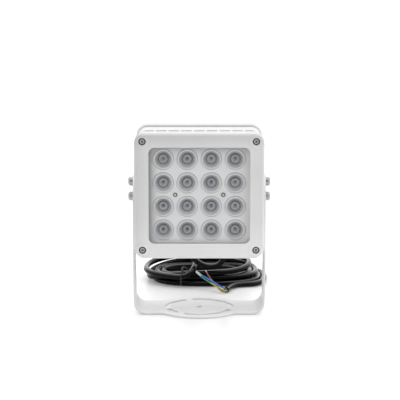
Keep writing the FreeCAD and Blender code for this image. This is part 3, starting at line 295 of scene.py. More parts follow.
def from_screws(finish, node, head_radius):
    """The distance from the nearest axis of a node's screws, which stand in a rectangle or a row."""
    low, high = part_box(node)
    reach = (high - low) / 2
    spread = (max(reach.x - head_radius, 0.0), 0.0, max(reach.z - head_radius, 0.0))
    flat = finish.vector_maths("MULTIPLY", beyond(finish, (low + high) / 2, spread), (1.0, 0.0, 1.0))
    return finish.vector_maths("LENGTH", flat, output="Value")


# Painted light and shade: two ramps from a corner set how light a coat is painted
def painted_shade_ramps(finish, corner, shades):
    """The product of two ramps, one from a corner along X and one from it down along Z."""
    from_corner = finish.vector_maths("SUBTRACT", finish.place, corner)
    share = 1.0
    for axis, way in (("X", 1.0), ("Z", -1.0)):
        inwards = finish.part(from_corner, axis) * (way * RAMP_SCALE / DM)
        stops = [(place * RAMP_SCALE, shade) for place, shade in shades[axis]]
        share = share * finish.ramp(stops, inwards)
    return share


# %% [markdown]
# ## The bezel's coat
# The bezel's coat has painted light and shade: it is painted a touch greyer towards the top and the
# left edge and whiter at the bottom. Two ramps over the bezel say that. A bump whose height is a real
# length rounds the outer edge a little more than the solid does, and raises a faint round pad about
# each screw, with a thin painted shade at its rim. The screws' counterbores are deep and narrow, so
# their shadow is painted into the coat there, almost black.

# %% Bezel coat
HEAD_RADIUS = 2.85 * MM
COUNTERBORE_RADIUS = 3.68 * MM
# The painted shadow's colour inside the screws' counterbores
COUNTERBORE_SHADOW = (0.05, 0.045, 0.04)
PAD_RADIUS = 7.6 * MM
PAD_SLOPE = 0.4 * MM
PAD_HEIGHT = 0.2 * MM
# Distance from a screw's axis in centimetres, and how dark the painted shade at the pad's rim makes the coat
# there
PAD_RIM_SHADE = ((0.70, 1.0), (0.76, 0.92), (0.82, 1.0))
# How far inside the outer edge its rounding starts, and the radius of the arc
EDGE_BAND = 2.5 * MM
EDGE_RADIUS = 5.0 * MM
BEZEL_WHITE = (1.0, 0.99, 1.0)
# Distance from the left edge and from the top edge in decimetres, and the painted whiteness there, for light
# and shade
BEZEL_PAINTED_SHADE = {
    "X": ((0.0, 0.74), (0.13, 0.85), (0.30, 0.84), (1.17, 0.88), (1.30, 0.88)),
    "Z": ((0.0, 0.80), (0.022, 0.80), (0.034, 0.73), (0.15, 0.86), (0.40, 0.84), (0.90, 0.89),
          (1.12, 0.96), (1.28, 1.0)),
}
bezel_low, bezel_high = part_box("bezel")
bezel_middle = (bezel_low + bezel_high) / 2
bezel_half = (bezel_high - bezel_low) / 2

coat = PowderCoat("bezel_white")
border = beyond(coat, bezel_middle, (bezel_half.x - EDGE_BAND, 0.0, bezel_half.z - EDGE_BAND))
rounding = 0.0
for axis in "XZ":
    past = coat.part(border, axis)
    past = past * (past > 0.0)
    # Near its start, an arc falls away by half the distance squared over its radius
    rounding = rounding + past * past * (0.5 / EDGE_RADIUS)
from_screw = from_screws(coat, "bezel_screws", HEAD_RADIUS)
pad = coat.step(from_screw, PAD_RADIUS - PAD_SLOPE, PAD_RADIUS + PAD_SLOPE, before=PAD_HEIGHT, after=0.0)
# Painted shade: a thin dark ring where the pad's rim stands
painted_rim_shade = coat.ramp(PAD_RIM_SHADE, from_screw * (1.0 / CM))
# Painted light and shade: the corner ramps and the pad's rim set how white the coat is painted
painted_whiteness = painted_shade_ramps(coat, (bezel_low.x, 0.0, bezel_high.z), BEZEL_PAINTED_SHADE) * (1.10 + 0.06 * coat.dust) * painted_rim_shade
paint = coat.tint(painted_whiteness, BLACK, BEZEL_WHITE)
# Painted shadow: inside a counterbore the coat is painted nearly black
shadowed_paint = coat.tint(from_screw > COUNTERBORE_RADIUS, COUNTERBORE_SHADOW, paint)
relief = coat.peel * CASTING_PEEL + pad - rounding
dress(coat.spray(shadowed_paint, height=relief, distance=1.0), "bezel")


# %% [markdown]
# ## Bare metal
# The screws and washers are stainless steel. They come out of a polishing barrel, so they stay bright
# but blurred: a very fine noise roughens the shine, and a broader one leaves a few dull patches where
# fingers and tools have been.

# %% Stainless steel
GRAIN_SCALE = 2600.0
GRAIN_HEIGHT = 0.01 * MM
PATCH_SCALE = 210.0
DULL_SHARE = 0.72


def bare_metal(name, shade, least_roughness):
    metal = Finish(name)
    grain = metal.noise(GRAIN_SCALE, 2.0)
    patches = metal.noise(PATCH_SCALE, 3.0)
    dull_shade = tuple(value * DULL_SHARE for value in shade)
    return metal.surface(
        base_color=metal.tint(patches, dull_shade, shade),
        metallic=1.0,
        roughness=least_roughness + 0.16 * patches + 0.06 * grain,
        normal=metal.bump(grain, GRAIN_HEIGHT),
    )


dress(bare_metal("stainless", (0.50, 0.49, 0.475), 0.20),
      "driver_screws", "flat_washers_left", "flat_washers_right", "spring_washers_left",
      "spring_washers_right", "pivot_screw_left", "pivot_screw_right", "lock_screw_left", "lock_screw_right")


# %% [markdown]
# A socket screw is painted with its light and shade: a dark painted shade in the recess and at the
# head's edge, and a painted highlight on the rim. The distance from the screw's axis picks the level,
# from the recess out to the edge of the head. The two small screws in the plate are painted the other
# way round: a bright painted reflection in the middle of a dark head.

# %% Socket screws
PLATE_HEAD_RADIUS = 2.4 * MM
# Share of the way from the screw's axis to its head's edge, and the painted light there: shade and highlight
CASE_PAINTED_LIGHT = ((0.0, 0.22), (0.40, 0.26), (0.52, 0.80), (0.74, 0.85), (0.86, 0.12), (1.0, 0.06))
PLATE_PAINTED_LIGHT = ((0.0, 1.0), (0.36, 1.0), (0.50, 0.10), (0.80, 0.12), (0.95, 0.60))


def socket_steel(node, head_radius, shades):
    metal = Finish(node + "_steel")
    # Painted highlight and shade, by the distance from the screw's axis
    painted_light = metal.ramp(shades, from_screws(metal, node, head_radius) * (1.0 / head_radius))
    grain = metal.noise(GRAIN_SCALE, 2.0)
    return metal.surface(
        base_color=metal.tint(painted_light * (0.92 + 0.16 * grain), (0.02, 0.02, 0.02), (0.72, 0.71, 0.69)),
        metallic=1.0,
        roughness=0.28 + 0.12 * grain,
        normal=metal.bump(grain, GRAIN_HEIGHT),
    )


for node in ("bezel_screws", "rear_cover_screws"):
    dress(socket_steel(node, HEAD_RADIUS, CASE_PAINTED_LIGHT), node)
dress(socket_steel("plate_screws", PLATE_HEAD_RADIUS, PLATE_PAINTED_LIGHT), "plate_screws")


# %% [markdown]
# ## Moulded parts and the inside
# Rubber seals, nylon fittings and the boards behind the plate are plain mouldings. One function makes
# them all: a colour that drifts a little, and a matt skin with the fine grain of the mould. A table
# gives each its colour, its roughness and the solids that wear it.

# %% Moulded finishes
MOULD_HEIGHT = 0.02 * MM
CLOUD_SCALE = 60.0
CLOUD_SHARE = 0.8
# A finish's name, its colour, its roughness and the solids that wear it
MOULDINGS = (
    ("seal_rubber", (0.055, 0.055, 0.055), 0.7,
     ("window_gasket", "body_gasket", "rear_gasket", "gland_seal")),
    ("white_nylon", (0.78, 0.78, 0.76), 0.5, ("plate_posts",)),
    ("black_nylon", (0.03, 0.03, 0.032), 0.45, ("gland_body", "gland_locknut", "gland_nut")),
    ("board_white", (0.72, 0.73, 0.71), 0.35, ("emitter_board", "driver_board")),
    ("pad_blue_grey", (0.35, 0.42, 0.48), 0.8, ("thermal_pad",)),
    ("wound_tape", (0.70, 0.52, 0.10), 0.35, ("transformer",)),
    ("can_sleeve", (0.06, 0.07, 0.10), 0.3, ("capacitor_1", "capacitor_2")),
    ("terminal_green", (0.05, 0.28, 0.10), 0.4, ("terminal_block",)),
)


def moulded(name, shade, roughness, grain_scale=1500.0):
    skin = Finish(name)
    grain = skin.noise(grain_scale, 2.0)
    darker = tuple(value * CLOUD_SHARE for value in shade)
    return skin.surface(
        base_color=skin.tint(skin.noise(CLOUD_SCALE, 2.0), darker, shade),
        roughness=roughness - 0.05 + 0.10 * grain,
        normal=skin.bump(grain, MOULD_HEIGHT),
    )


for name, shade, roughness, nodes in MOULDINGS:
    dress(moulded(name, shade, roughness), *nodes)


# %% [markdown]
# ## The lens plate
# The lens plate sits deep behind the bezel, so its edges lie in shade, most at the left and the top.
# Soft light alone is too even to show it. Two ramps across the plate darken the paint there a little.

# %% Lens plate
# Distance from the window's left edge and from its top in decimetres, and the share of light left
EDGE_SHADES = {
    "X": ((0.0, 0.46), (0.015, 0.50), (0.04, 0.76), (0.09, 1.0)),
    "Z": ((0.0, 0.48), (0.015, 0.54), (0.035, 0.74), (0.10, 0.92), (0.80, 0.92), (0.95, 1.0)),
}
WINDOW_HALF_WIDTH = 50.75 * MM
WINDOW_HALF_HEIGHT = 49.0 * MM
window_corner = (-WINDOW_HALF_WIDTH, 0.0, bezel_middle.z + WINDOW_HALF_HEIGHT)
plate = Finish("plate_grey")
specks = plate.noise(2200.0, 2.0)
light_left = (0.95 + 0.05 * specks) * painted_shade_ramps(plate, window_corner, EDGE_SHADES)
plate_paint = plate.surface(
    base_color=plate.tint(light_left, BLACK, WHITE),
    roughness=0.45 + 0.10 * specks,
    normal=plate.bump(specks, GRAIN_HEIGHT),
)
dress(plate_paint, "lens_plate")


# %% [markdown]
# ## The window
# The window is clear toughened glass. Seen nearly square on, it shows as little more than a faint
# sheen over the lenses. Real refraction through it would cost many samples for nothing, so it is a
# glossy film that is almost all see-through, with a trace of dust in broad patches.

# %% Window glass
window = Finish("window_glass")
glass_dust = window.noise(45.0, 3.0)
clear_glass = window.surface(
    base_color=(0.93, 0.95, 0.95),
    roughness=0.03 + 0.05 * glass_dust,
    alpha=0.05 + 0.03 * glass_dust,
)
dress(clear_glass, "window_glass")


# %% [markdown]
# ## Helpers for modelling by hand
# Edit-mode operators act on whatever is selected, so each step first picks its faces by place. These
# helpers start a piece from a primitive, select by a test, and close the piece with its place in its
# mesh, because the export reads it there.

# %% Modelling helpers
def select_only(piece):
    """Selects one piece and nothing else, and makes it the active one."""
    bpy.ops.object.select_all(action="DESELECT")
    piece.select_set(True)
    bpy.context.view_layer.objects.active = piece


def start_piece(name):
    """Names the primitive that was just added."""
    piece = bpy.context.object
    piece.name = name
    piece.data.name = name
    return piece


def pick_faces(piece, test):
    """Enters edit mode with only the faces that pass the test selected."""
    if piece.mode == "EDIT":
        bpy.ops.object.mode_set(mode="OBJECT")
    bpy.context.tool_settings.mesh_select_mode = (False, False, True)
    for part in (piece.data.vertices, piece.data.edges):
        part.foreach_set("select", [False] * len(part))
    for face in piece.data.polygons:
        face.select = test(face)
    bpy.ops.object.mode_set(mode="EDIT")


def smooth(piece, degrees):
    """Shades a piece smooth, apart from edges that turn more sharply than an angle."""
    select_only(piece)
    bpy.ops.object.shade_smooth_by_angle(angle=math.radians(degrees))


def settle(piece):
    """Moves an object's place into its mesh."""
    select_only(piece)
    bpy.ops.object.transform_apply(location=True, rotation=True, scale=True)


# %% [markdown]
# ## A lens
# Each light emitter sits at the bottom of a clear moulded lens. From outside the lens reads as a deep
# smoky bowl with a bright collar at its bottom and a dark eye, inside a milky flange with three small
# tabs. A see-through solid would need caustics to look like that, so its reflections and shade are
# painted on: the bowl's painted shade depends on the distance from the axis, and its wall is painted a
# little lighter below than above, where light from above falls. Both come from the lens's own UV map.

# %% Lens finishes
# Distance from the axis in centimetres, and how light the bowl is painted there, for its reflections and
# shade
BOWL_PAINTED_LIGHT = (
    (0.0, 0.05), (0.12, 0.08), (0.22, 0.42), (0.32, 0.58), (0.42, 0.33), (0.50, 0.18), (0.58, 0.28),
    (0.66, 0.46), (0.74, 0.58), (0.82, 0.66), (0.85, 0.70),
)
WALL_START = 0.37
WALL_END = 0.85
# From 0 at the lens's lowest side to 1 at its highest: where the wall's painted light is neither lighter nor
# darker
EVEN_SIDE = 0.42
PAINTED_SIDE_CONTRAST = 2.4

flange = Finish("lens_flange")
milky = flange.surface(
    base_color=flange.tint(flange.noise(900.0, 2.0), (0.80, 0.80, 0.82), (0.90, 0.90, 0.92)),
    roughness=0.22,
    specular_ior_level=0.6,
)

groove = Finish("lens_groove")
shadowed = groove.surface(
    base_color=groove.tint(groove.noise(900.0, 2.0), (0.50, 0.50, 0.50), (0.60, 0.60, 0.61)),
    roughness=0.5,
)

bowl = Finish("lens_bowl")
up = bowl.part(bowl.uv_map(), "X")
out = bowl.part(bowl.uv_map(), "Y")
# Painted light: the wall is painted lighter on its lower side and darker on its upper side
side = 1.0 + (out > WALL_START) * (WALL_END - out) * (EVEN_SIDE - up) * PAINTED_SIDE_CONTRAST
haze = bowl.noise(700.0, 2.0)
smoky = bowl.surface(
    base_color=bowl.tint(bowl.ramp(BOWL_PAINTED_LIGHT, out) * side * (0.94 + 0.12 * haze),
                         (0.012, 0.013, 0.015), (0.86, 0.87, 0.93)),
    roughness=0.24 + 0.08 * haze,
    coat_weight=0.35,
    coat_roughness=0.05,
)
print("lens finishes:", milky.name, shadowed.name, smoky.name)

# %% [markdown]
# The lens starts as a cylinder the size of the flange. Its front face is inset again and again, each
# time a little narrower and deeper, as one would turn a bowl, and two insets at the back draw out the
# cup that sits over the emitter.

# %% Model one lens
# Millimetres, as in the solid model; a front or a back is a place along Y
BEZEL_FRONT = -36.0
LENS_SETBACK = 8.2
LENS_FRONT = BEZEL_FRONT + LENS_SETBACK
FLANGE_STEP = 0.7
FLANGE_FRONT = LENS_FRONT + FLANGE_STEP
FLANGE_DEPTH = 1.5
FLANGE_BACK = FLANGE_FRONT + FLANGE_DEPTH
FLANGE_RADIUS = 10.45
LENS_FINISHES = (milky, smoky, shadowed)
FLANGE, BOWL, GROOVE = range(3)
# How far each inset at the front goes in, how far it goes forward, and which finish its ring takes
BOWL_STEPS = (
    (0.40, 0.00, GROOVE),
    (0.06, FLANGE_STEP, GROOVE),
    (1.35, 0.00, FLANGE),
    (0.25, -0.60, BOWL),
    (1.15, -1.30, BOWL),
    (1.10, -1.55, BOWL),
    (1.00, -1.60, BOWL),
    (0.45, -0.60, BOWL),
    (0.30, 0.60, BOWL),
    (1.35, 0.20, BOWL),
    (0.35, -0.90, BOWL),
    (0.90, -0.40, BOWL),
    (0.90, 0.30, BOWL),
)
# How far each inset at the back goes in, and how far it goes back
CUP_STEPS = ((1.2, 0.0), (2.6, 4.9))
# Metres by which two places may differ and still be the same
SAME_PLACE = 1e-6


def inset_face(lens, place, steps):
    """Insets the face that lies at a place along Y, once for each step."""
    pick_faces(lens, lambda face: abs(face.center.y - place * MM) < SAME_PLACE)
    for reach, depth in steps:
        bpy.ops.mesh.inset(thickness=reach * MM, depth=depth * MM)


def model_lens():
    bpy.ops.object.select_all(action="DESELECT")
    bpy.ops.mesh.primitive_cylinder_add(
        vertices=48, radius=FLANGE_RADIUS * MM, depth=FLANGE_DEPTH * MM,
        location=(0.0, (FLANGE_FRONT + FLANGE_DEPTH / 2) * MM, 0.0), rotation=(math.radians(90.0), 0.0, 0.0))
    lens = start_piece("lens_master")
    settle(lens)
    inset_face(lens, FLANGE_BACK, CUP_STEPS)
    inset_face(lens, FLANGE_FRONT, [step[:2] for step in BOWL_STEPS])
    bpy.ops.object.mode_set(mode="OBJECT")
    return lens


master = model_lens()
depth_reached = max(v.co.y for v in master.data.vertices) / MM - LENS_FRONT
print("lens reaches", round(depth_reached, 2), "mm behind its face")

# %% [markdown]
# Three small blocks stand on the flange. They are bevelled cubes, added while the lens is open in edit
# mode, so that they become part of its mesh. Then each face takes the finish of the ring it lies in,
# and each corner its place on the UV map.

# %% Tabs and paint
TABS = 3
TAB_RADIUS = 9.55
TAB_RISE = 0.1
TAB_SIZE = (1.1, 0.5, 3.2)
TAB_BEVEL = 0.15


def add_tabs(lens, turn):
    """Small blocks on the flange, evenly round it from a turn in degrees."""
    bpy.ops.object.mode_set(mode="EDIT")
    for tab in range(TABS):
        angle = math.radians(turn + 360.0 / TABS * tab)
        bpy.ops.mesh.select_all(action="DESELECT")
        spot = Vector((math.cos(angle) * TAB_RADIUS, LENS_FRONT - TAB_RISE,
                       math.sin(angle) * TAB_RADIUS)) * MM
        bpy.ops.mesh.primitive_cube_add(size=1.0, location=spot, rotation=(0.0, -angle, 0.0),
                                        scale=[size * MM for size in TAB_SIZE])
        bpy.ops.mesh.bevel(offset=TAB_BEVEL * MM, segments=2, affect="EDGES")
    bpy.ops.object.mode_set(mode="OBJECT")


def lens_ring(radius):
    """Which finish the lens has at a distance from its axis, in millimetres."""
    edge = FLANGE_RADIUS
    for reach, _, finish in BOWL_STEPS:
        edge -= reach
        if radius > edge:
            return finish
    return BOWL


def paint_lens(lens):
    """Gives each ring its finish, and each corner its place on the UV map.

    The map's X is 0 at the lens's lowest side and 1 at its highest, and its Y is the distance from the
    axis in centimetres.
    """
    for finish in LENS_FINISHES:
        lens.data.materials.append(finish)
    layer = lens.data.uv_layers.active
    for face in lens.data.polygons:
        face.material_index = lens_ring(math.hypot(face.center.x, face.center.z) / MM)
        for loop in face.loop_indices:
            spot = lens.data.vertices[lens.data.loops[loop].vertex_index].co
            radius = math.hypot(spot.x, spot.z)
            layer.data[loop].uv = (0.5 + 0.5 * spot.z / max(radius, MM), radius / CM)


# %% [markdown]
# The lenses were pushed in by hand, so their tabs point different ways. Each copy has its own mesh and
# is placed by its solid's box, which keeps it in line with the holes in the plate.

# %% Copy the lens to its sixteen places
TAB_TURNS = (60, 10, 95, 35, 75, 20, 50, 100, 5, 85, 40, 65, 110, 25, 55, 30)
for number, turn in enumerate(TAB_TURNS, 1):
    node = "lens_%02d" % number
    low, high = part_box(node)
    lens = master.copy()
    lens.data = master.data.copy()
    lens.name = "dressed_" + node
    bpy.context.scene.collection.objects.link(lens)
    select_only(lens)
    add_tabs(lens, turn)
    paint_lens(lens)
    smooth(lens, 35.0)
    lens.location = ((low.x + high.x) / 2, 0.0, (low.z + high.z) / 2)
    settle(lens)
    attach(lens, "head")
    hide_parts(node)
bpy.data.objects.remove(master)
print("lenses:", len(TAB_TURNS))


# %% [markdown]
# ## The cable's line
# A cable is one length of something flexible, so its whole line is one smooth spline: out of the gland,
# down into a loop that rests on the coil, up and over behind that loop, nearly seven loose turns round
# the coil, and a short end on the floor. The lead and the tail are lists of given points.

# %% Lead and tail
# Millimetres, as in the solid model
CABLE_DIAMETER = 6.0
LEAD_ROUTE = (
    (26.0, 44.0, 79.0), (26.0, 59.0, 79.0), (26.5, 77.0, 72.5), (27.0, 89.0, 59.5), (27.5, 94.5, 45.5),
    (27.5, 95.0, 31.0), (19.5, 95.0, 22.0), (4.0, 95.0, 22.2), (-9.5, 96.5, 33.0), (-18.5, 104.0, 51.0),
    (-16.7, 121.0, 62.0), (-8.6, 136.5, 57.5), (-2.6, 139.0, 39.5), (-2.6, 124.5, 26.5),
    (-4.0, 108.0, 22.3), (-5.2, 98.5, 20.2), (-8.2, 92.2, 16.6), (-13.5, 90.2, 13.0), (-20.0, 91.2, 11.0),
)
# The last turn swings wide at the right and runs along the coil's front before it leaves
COIL_END = ((69.2, 118.0, 3.1), (66.2, 103.5, 3.1), (57.5, 94.6, 3.1))
TAIL_ROUTE = (
    (47.0, 93.2, 3.1), (39.0, 90.0, 3.1), (33.5, 83.5, 3.1), (30.5, 75.5, 3.1), (28.4, 67.2, 3.1),
)
print("lead points:", len(LEAD_ROUTE), "tail points:", len(TAIL_ROUTE))

# %% [markdown]
# The coil's turns lie on a rounded rectangle, and they differ, because each was laid by hand on the
# last. A table gives, for the front, left, back and right of each turn, how far it lies inside the
# coil's outline and how high it is, and a loop slides smoothly from one to the next.

# %% Coil
COIL_CENTRE = (6.2, 133.25)
COIL_REACH = (64.2, 41.75)
COIL_SQUARENESS = 0.75
POINTS_A_TURN = 16
# Inset and height at the front, left, back and right of each turn
COIL_TURNS = (
    ((0.0, 11.0), (0.0, 12.4), (9.5, 20.4), (16.8, 18.5)),
    ((5.6, 14.5), (3.4, 4.6), (6.6, 13.8), (9.2, 8.9)),
    ((7.3, 8.8), (12.9, 8.9), (12.2, 8.8), (15.2, 8.8)),
    ((13.3, 8.8), (19.2, 8.9), (18.8, 8.8), (18.3, 3.1)),
    ((15.6, 3.1), (22.4, 3.1), (15.8, 3.1), (12.1, 3.1)),
    ((9.4, 3.1), (16.2, 3.1), (9.6, 3.1), (5.9, 3.1)),
    ((3.2, 3.1), (10.0, 3.1), (3.4, 3.1), (0.0, 3.1)),
)
# Degrees from the front, in the first turn and in the last
FIRST_ANGLE = 40.0
LAST_ANGLE = 280.0


def oval_power(value):
    return math.copysign(abs(value) ** COIL_SQUARENESS, value)


def coil_point(turn, angle):
    """Where the cable is in one turn, from the front round by the left, in degrees."""
    stations = list(COIL_TURNS[turn]) + [COIL_TURNS[min(turn + 1, len(COIL_TURNS) - 1)][0]]
    quarter, part = divmod(angle, 90.0)
    share = part / 90.0
    # Slow at both ends, so that one quarter runs into the next without a kink
    share = share * share * (3.0 - 2.0 * share)
    inset, height = ((1.0 - share) * a + share * b
                     for a, b in zip(stations[int(quarter)], stations[int(quarter) + 1]))
    turned = math.radians(angle)
    return (COIL_CENTRE[0] - (COIL_REACH[0] - inset) * oval_power(math.sin(turned)),
            COIL_CENTRE[1] - (COIL_REACH[1] - inset) * oval_power(math.cos(turned)),
            height)


def coil_route():
    end = 360.0 * (len(COIL_TURNS) - 1) + LAST_ANGLE
    angle = FIRST_ANGLE
    points = []
    while angle <= end:
        points.append(coil_point(int(angle // 360.0), angle % 360.0))
        angle += 360.0 / POINTS_A_TURN
    return points


cable_route = list(LEAD_ROUTE) + coil_route() + list(COIL_END) + list(TAIL_ROUTE)
print("cable route points:", len(cable_route))


# %% [markdown]
# ## From a line to a tube
# A curve object is only a helper here. Its spline has order 3, so it runs smoothly inside its points,
# and the mesh that Blender makes of it gives the places where the rings of a tube go.

# %% Splines
def spline_places(name, route, resolution):
    """Places along the smooth spline of a route in millimetres, in metres."""
    data = bpy.data.curves.new(name, "CURVE")
    data.dimensions = "3D"
    data.resolution_u = resolution
    spline = data.splines.new("NURBS")
    spline.points.add(len(route) - 1)
    for point, spot in zip(spline.points, route):
        point.co = (*(Vector(spot) * MM), 1.0)
    spline.order_u = 3
    spline.use_endpoint_u = True
    line = bpy.data.objects.new(name, data)
    mesh = bpy.data.meshes.new_from_object(line)
    places = [v.co.copy() for v in mesh.vertices]
    bpy.data.meshes.remove(mesh)
    bpy.data.objects.remove(line)
    bpy.data.curves.remove(data)
    return places


def line_length(places):
    return sum((b - a).length for a, b in zip(places, places[1:]))


# %% [markdown]
# A bevelled curve would do for the look, but a mesh carries its own UV map: across for the way round
# and up for the distance along in decimetres, which waves and scuffs can follow. Each ring's direction
# is carried over from the last, so the tube never twists.

# %% Tubes
def tube_shape(places, radius, sides):
    """Vertices, faces and the rings' distances along a closed tube."""
    along = [0.0]
    for a, b in zip(places, places[1:]):
        along.append(along[-1] + (b - a).length)
    count = len(places)
    side = (places[1] - places[0]).orthogonal().normalized()
    vertices, faces = [], []
    for i, spot in enumerate(places):
        ahead = (places[min(i + 1, count - 1)] - places[max(i - 1, 0)]).normalized()
        side = (side - ahead * side.dot(ahead)).normalized()
        across = ahead.cross(side)
        reach = radius(along[i] / along[-1]) if callable(radius) else radius
        for j in range(sides):
            turn = 2.0 * math.pi * j / sides
            vertices.append(spot + (side * math.cos(turn) + across * math.sin(turn)) * reach)
    for i in range(count - 1):
        for j in range(sides):
            k = (j + 1) % sides
            faces.append((i * sides + j, i * sides + k, (i + 1) * sides + k, (i + 1) * sides + j))
    faces.append(tuple(reversed(range(sides))))
    faces.append(tuple(range((count - 1) * sides, count * sides)))
    return vertices, faces, along


def tube(name, places, radius, sides, material):
    """A closed tube round a line; radius is one number or a function of the share of the length."""
    vertices, faces, along = tube_shape(places, radius, sides)
    mesh = bpy.data.meshes.new(name)
    mesh.from_pydata(vertices, [], faces)
    layer = mesh.uv_layers.new(name="UVMap")
    for face in mesh.polygons:
        closes_ring = face.loop_total == 4 and face.vertices[0] % sides == sides - 1
        for loop in face.loop_indices:
            ring, spoke = divmod(mesh.loops[loop].vertex_index, sides)
            if closes_ring and spoke == 0:
                spoke = sides
            layer.data[loop].uv = (spoke / sides, along[ring] / DM)
    mesh.materials.append(material)
    piece = bpy.data.objects.new(name, mesh)
    bpy.context.scene.collection.objects.link(piece)
    smooth(piece, 50.0)
    return piece


# %% [markdown]
# ## The cable's sheath
# The sheath is black soft plastic, pulled through a die: smooth across, with faint waves along it
# where the cores press from inside, and dull patches where it has rubbed on itself in the coil. Handling
# has polished what lies on top, so a thin coat grows where the surface faces up.

# %% Sheath finish
sheath = Finish("cable_sheath")
rubbing = sheath.noise(160.0, 3.0)
waves = sheath.noise(9.0, 2.0, sheath.uv_map())
facing_up = sheath.part(sheath.node("ShaderNodeNewGeometry", {}, {}, "Normal"), "Z")
black_sheath = sheath.surface(
    base_color=sheath.tint(rubbing, (0.002, 0.002, 0.002), (0.007, 0.007, 0.007)),
    roughness=0.16 + 0.08 * rubbing,
    specular_ior_level=0.10,
    coat_weight=sheath.step(facing_up, start=0.30, end=0.80, before=0.0, after=1.0),
    coat_roughness=0.22,
    normal=sheath.bump(waves, distance=0.1 * MM, strength=0.5),
)
dress(black_sheath, "cable_inner_end")

# %% [markdown]
# The whole route becomes one tube. It stands for three solids at once, the lead, the coil and the tail,
# which are hidden, so that they don't show beside it.

# %% Lay the cable
cable_places = spline_places("cable_line", cable_route, resolution=6)
cable = tube("cable", cable_places, CABLE_DIAMETER / 2 * MM, sides=16, material=black_sheath)
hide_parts("cable_lead", "cable_coil", "cable_tail")
print("cable length:", round(line_length(cable_places), 3), "m in", len(cable_places), "places")


# %% [markdown]
# ## The bare end
# At the free end the sheath is stripped and three cores show: blue, brown, and green with yellow. They
# spring back over the coil, and each ends in a few millimetres of tinned strands. The earth core turns
# on its way, so it shows its yellow side near the sheath and its green one beyond. The distance along
# its UV map says where.

# %% Core finishes
CORE_COLOURS = {
    "core_blue": ((0.035, 0.14, 0.62), (0.05, 0.19, 0.72)),
    "core_brown": ((0.22, 0.085, 0.05), (0.30, 0.12, 0.075)),
    "core_green_yellow": ((0.03, 0.33, 0.16), (0.56, 0.47, 0.05)),
}
# Decimetres from the sheath at which the earth core's yellow side turns away
YELLOW_END = 0.23


def core_finish(name):
    core = Finish(name + "_insulation")
    first, second = CORE_COLOURS[name]
    if name == "core_green_yellow":
        mask = 1.0 - (core.part(core.uv_map(), "Y") > YELLOW_END)
    else:
        mask = core.noise(300.0, 2.0)
    grain = core.noise(1800.0, 2.0)
    return core.surface(
        base_color=core.tint(mask, first, second),
        roughness=0.28 + 0.1 * grain,
        normal=core.bump(grain, GRAIN_HEIGHT),
    )


tinned = bare_metal("tinned_strands", (0.97, 0.96, 0.94), 0.55)
print("core colours:", ", ".join(CORE_COLOURS), "and", tinned.name)

# %% [markdown]
# Each core is a thin tube along its own spline. Past a share of its length the tube narrows to the bare
# strands, and its faces there take the tinned metal as their second material.

# %% Cores
# Millimetres, as in the solid model
CORE_RADIUS = 0.75
STRANDS_RADIUS = 0.46
CORE_ROUTES = {
    "core_blue": ((28.34, 67.0, 4.25), (27.7, 64.9, 4.6), (24.0, 65.4, 6.2), (17.0, 71.0, 9.4),
                  (9.5, 79.0, 12.2), (2.6, 86.0, 14.3), (-2.9, 88.9, 18.3)),
    "core_brown": ((27.33, 67.15, 2.53), (27.1, 64.9, 2.2), (25.0, 63.0, 2.2), (21.5, 67.0, 3.2),
                   (18.0, 73.6, 6.2), (13.0, 81.0, 10.6), (9.0, 86.0, 14.8), (6.8, 89.5, 19.0)),
    "core_green_yellow": ((29.34, 66.85, 2.53), (28.5, 64.2, 2.5), (24.5, 63.3, 3.9), (17.0, 69.4, 7.0),
                          (9.5, 77.4, 10.0), (2.0, 84.8, 13.0), (-3.6, 88.6, 17.6)),
}
# The share of its length at which each core's insulation ends
INSULATED_SHARE = {"core_blue": 0.83, "core_brown": 0.92, "core_green_yellow": 0.83}

for name, route in CORE_ROUTES.items():
    places = spline_places(name + "_line", route, resolution=8)
    limit = INSULATED_SHARE[name]

    def core_radius(share, limit=limit):
        return (CORE_RADIUS if share < limit else STRANDS_RADIUS) * MM

    core = tube("dressed_" + name, places, core_radius, sides=12, material=core_finish(name))
    core.data.materials.append(tinned)
    length = line_length(places)
    for face in core.data.polygons:
        start = min(core.data.uv_layers[0].data[i].uv.y for i in face.loop_indices) * DM
        face.material_index = 1 if start > limit * length else 0
    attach(core, "bracket")
    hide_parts(name)
    print(core.name, "length:", round(length / MM, 1), "mm")


# %% [markdown]
# ## The tie
# A thin black wire tie holds the turns together. It goes once round the bundle and its ends cross on
# top, so it is one more spline, wound a little outside the strands.

# %% Tie
TIE_RADIUS = 0.7
TIE_ROUTE = (
    (-13.0, 99.6, 18.6), (-14.6, 96.8, 20.4), (-17.0, 94.6, 20.4), (-18.8, 91.6, 18.0), (-19.2, 87.5, 13.6),
    (-19.4, 87.2, 8.6), (-19.4, 90.6, 3.2), (-19.2, 94.5, 0.7), (-19.0, 103.0, 0.7), (-18.9, 110.5, 1.2),
    (-18.9, 112.6, 7.0), (-18.9, 109.6, 15.2), (-18.6, 103.0, 18.6), (-17.4, 97.6, 20.8),
    (-15.2, 94.6, 21.0), (-12.6, 93.6, 19.8), (-11.4, 93.0, 17.6),
)
wire = moulded("tie_wire", (0.006, 0.006, 0.006), 0.3, 900.0)
tie_places = spline_places("tie_line", TIE_ROUTE, resolution=8)
tie = tube("dressed_cable_tie", tie_places, TIE_RADIUS * MM, sides=10, material=wire)
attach(tie, "bracket")
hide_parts("cable_tie")
print("tie length:", round(line_length(tie_places) / MM), "mm")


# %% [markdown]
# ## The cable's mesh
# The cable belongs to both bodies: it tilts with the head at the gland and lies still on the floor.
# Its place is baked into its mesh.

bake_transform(cable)


# %% [markdown]
# ## The floor
# The photograph's floor is the white bottom of a light tent. It runs far behind the lamp, so that it
# fills the picture and its edge doesn't show. It gives off a little light, but only for rays that come
# from the camera or off something glossy, so it looks as white as the tent's walls and still lights
# nothing.

# %% Floor
FLOOR_SIZE = 14.0
# A hair below the foot, so that the two never share a plane
FLOOR_MIDDLE = (0.0, 3.0, -0.0002)
FLOOR_LIFT = (0.15, 0.15, 0.15)

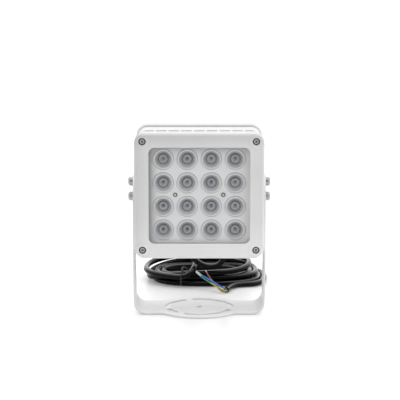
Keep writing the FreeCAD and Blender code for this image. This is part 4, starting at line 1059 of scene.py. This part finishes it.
bpy.ops.object.select_all(action="DESELECT")
bpy.ops.mesh.primitive_plane_add(size=FLOOR_SIZE, location=FLOOR_MIDDLE)
floor = start_piece("floor")
settle(floor)
ground = Finish("floor_white")
camera_ray = ground.node("ShaderNodeLightPath", {}, {}, "Is Camera Ray")
glossy_ray = ground.node("ShaderNodeLightPath", {}, {}, "Is Glossy Ray")
seen = ground.node("ShaderNodeMath", {"operation": "MAXIMUM"}, {0: camera_ray, 1: glossy_ray})
floor.data.materials.append(ground.surface(
    base_color=ground.tint(ground.noise(3.0, 2.0), (0.86, 0.86, 0.86), (0.88, 0.88, 0.88)),
    roughness=0.28,
    emission_color=ground.tint(seen, BLACK, FLOOR_LIFT),
    emission_strength=1.0,
))
print("floor:", FLOOR_SIZE, "m wide")


# %% [markdown]
# ## Light and world
# The photograph is a product shot: light comes from every wall of the tent at once, so the shadows are
# faint, and the walls aren't equally bright. Two numbers for each axis say how bright they are, and the
# last is nothing, because the floor lies there. A direction's squared parts x, y and z add up to one, so
# they mix the walls smoothly. Rays that come straight from the camera see one even white instead, which
# keeps the background clean. One weak and very wide sun, nearly overhead, lifts the faces that look up.

# %% Light and world
# The brightness of the tent's walls at +X and -X, +Y and -Y, +Z and -Z
TENT_WALLS = ((1.27, 0.88), (1.06, 0.08), (1.42, 0.0))
SUN_STRENGTH = 0.22
SUN_WIDTH = math.radians(70.0)
SUN_TURN = (math.radians(-5.0), math.radians(-8.0), 0.0)

sun_data = bpy.data.lights.new("soft_sun", "SUN")
sun_data.energy = SUN_STRENGTH
sun_data.angle = SUN_WIDTH
sun = bpy.data.objects.new("soft_sun", sun_data)
sun.rotation_euler = SUN_TURN
bpy.context.scene.collection.objects.link(sun)

world = bpy.data.worlds.new("studio")
world.use_nodes = True
bpy.context.scene.world = world
tent = Graph(world.node_tree)
direction = tent.node("ShaderNodeTexCoord", {}, {}, "Generated")
walls = 0.0
for axis, (ahead, behind) in zip("XYZ", TENT_WALLS):
    share = tent.part(direction, axis)
    walls = walls + share * share * (behind + (share > 0.0) * (ahead - behind))
from_camera = tent.node("ShaderNodeLightPath", {}, {}, "Is Camera Ray")
background = tent.tree.nodes["Background"]
tent.feed(background.inputs["Color"], WHITE)
tent.feed(background.inputs["Strength"], from_camera + (1 - from_camera) * walls)
print("tent walls:", TENT_WALLS, "sun:", SUN_STRENGTH)
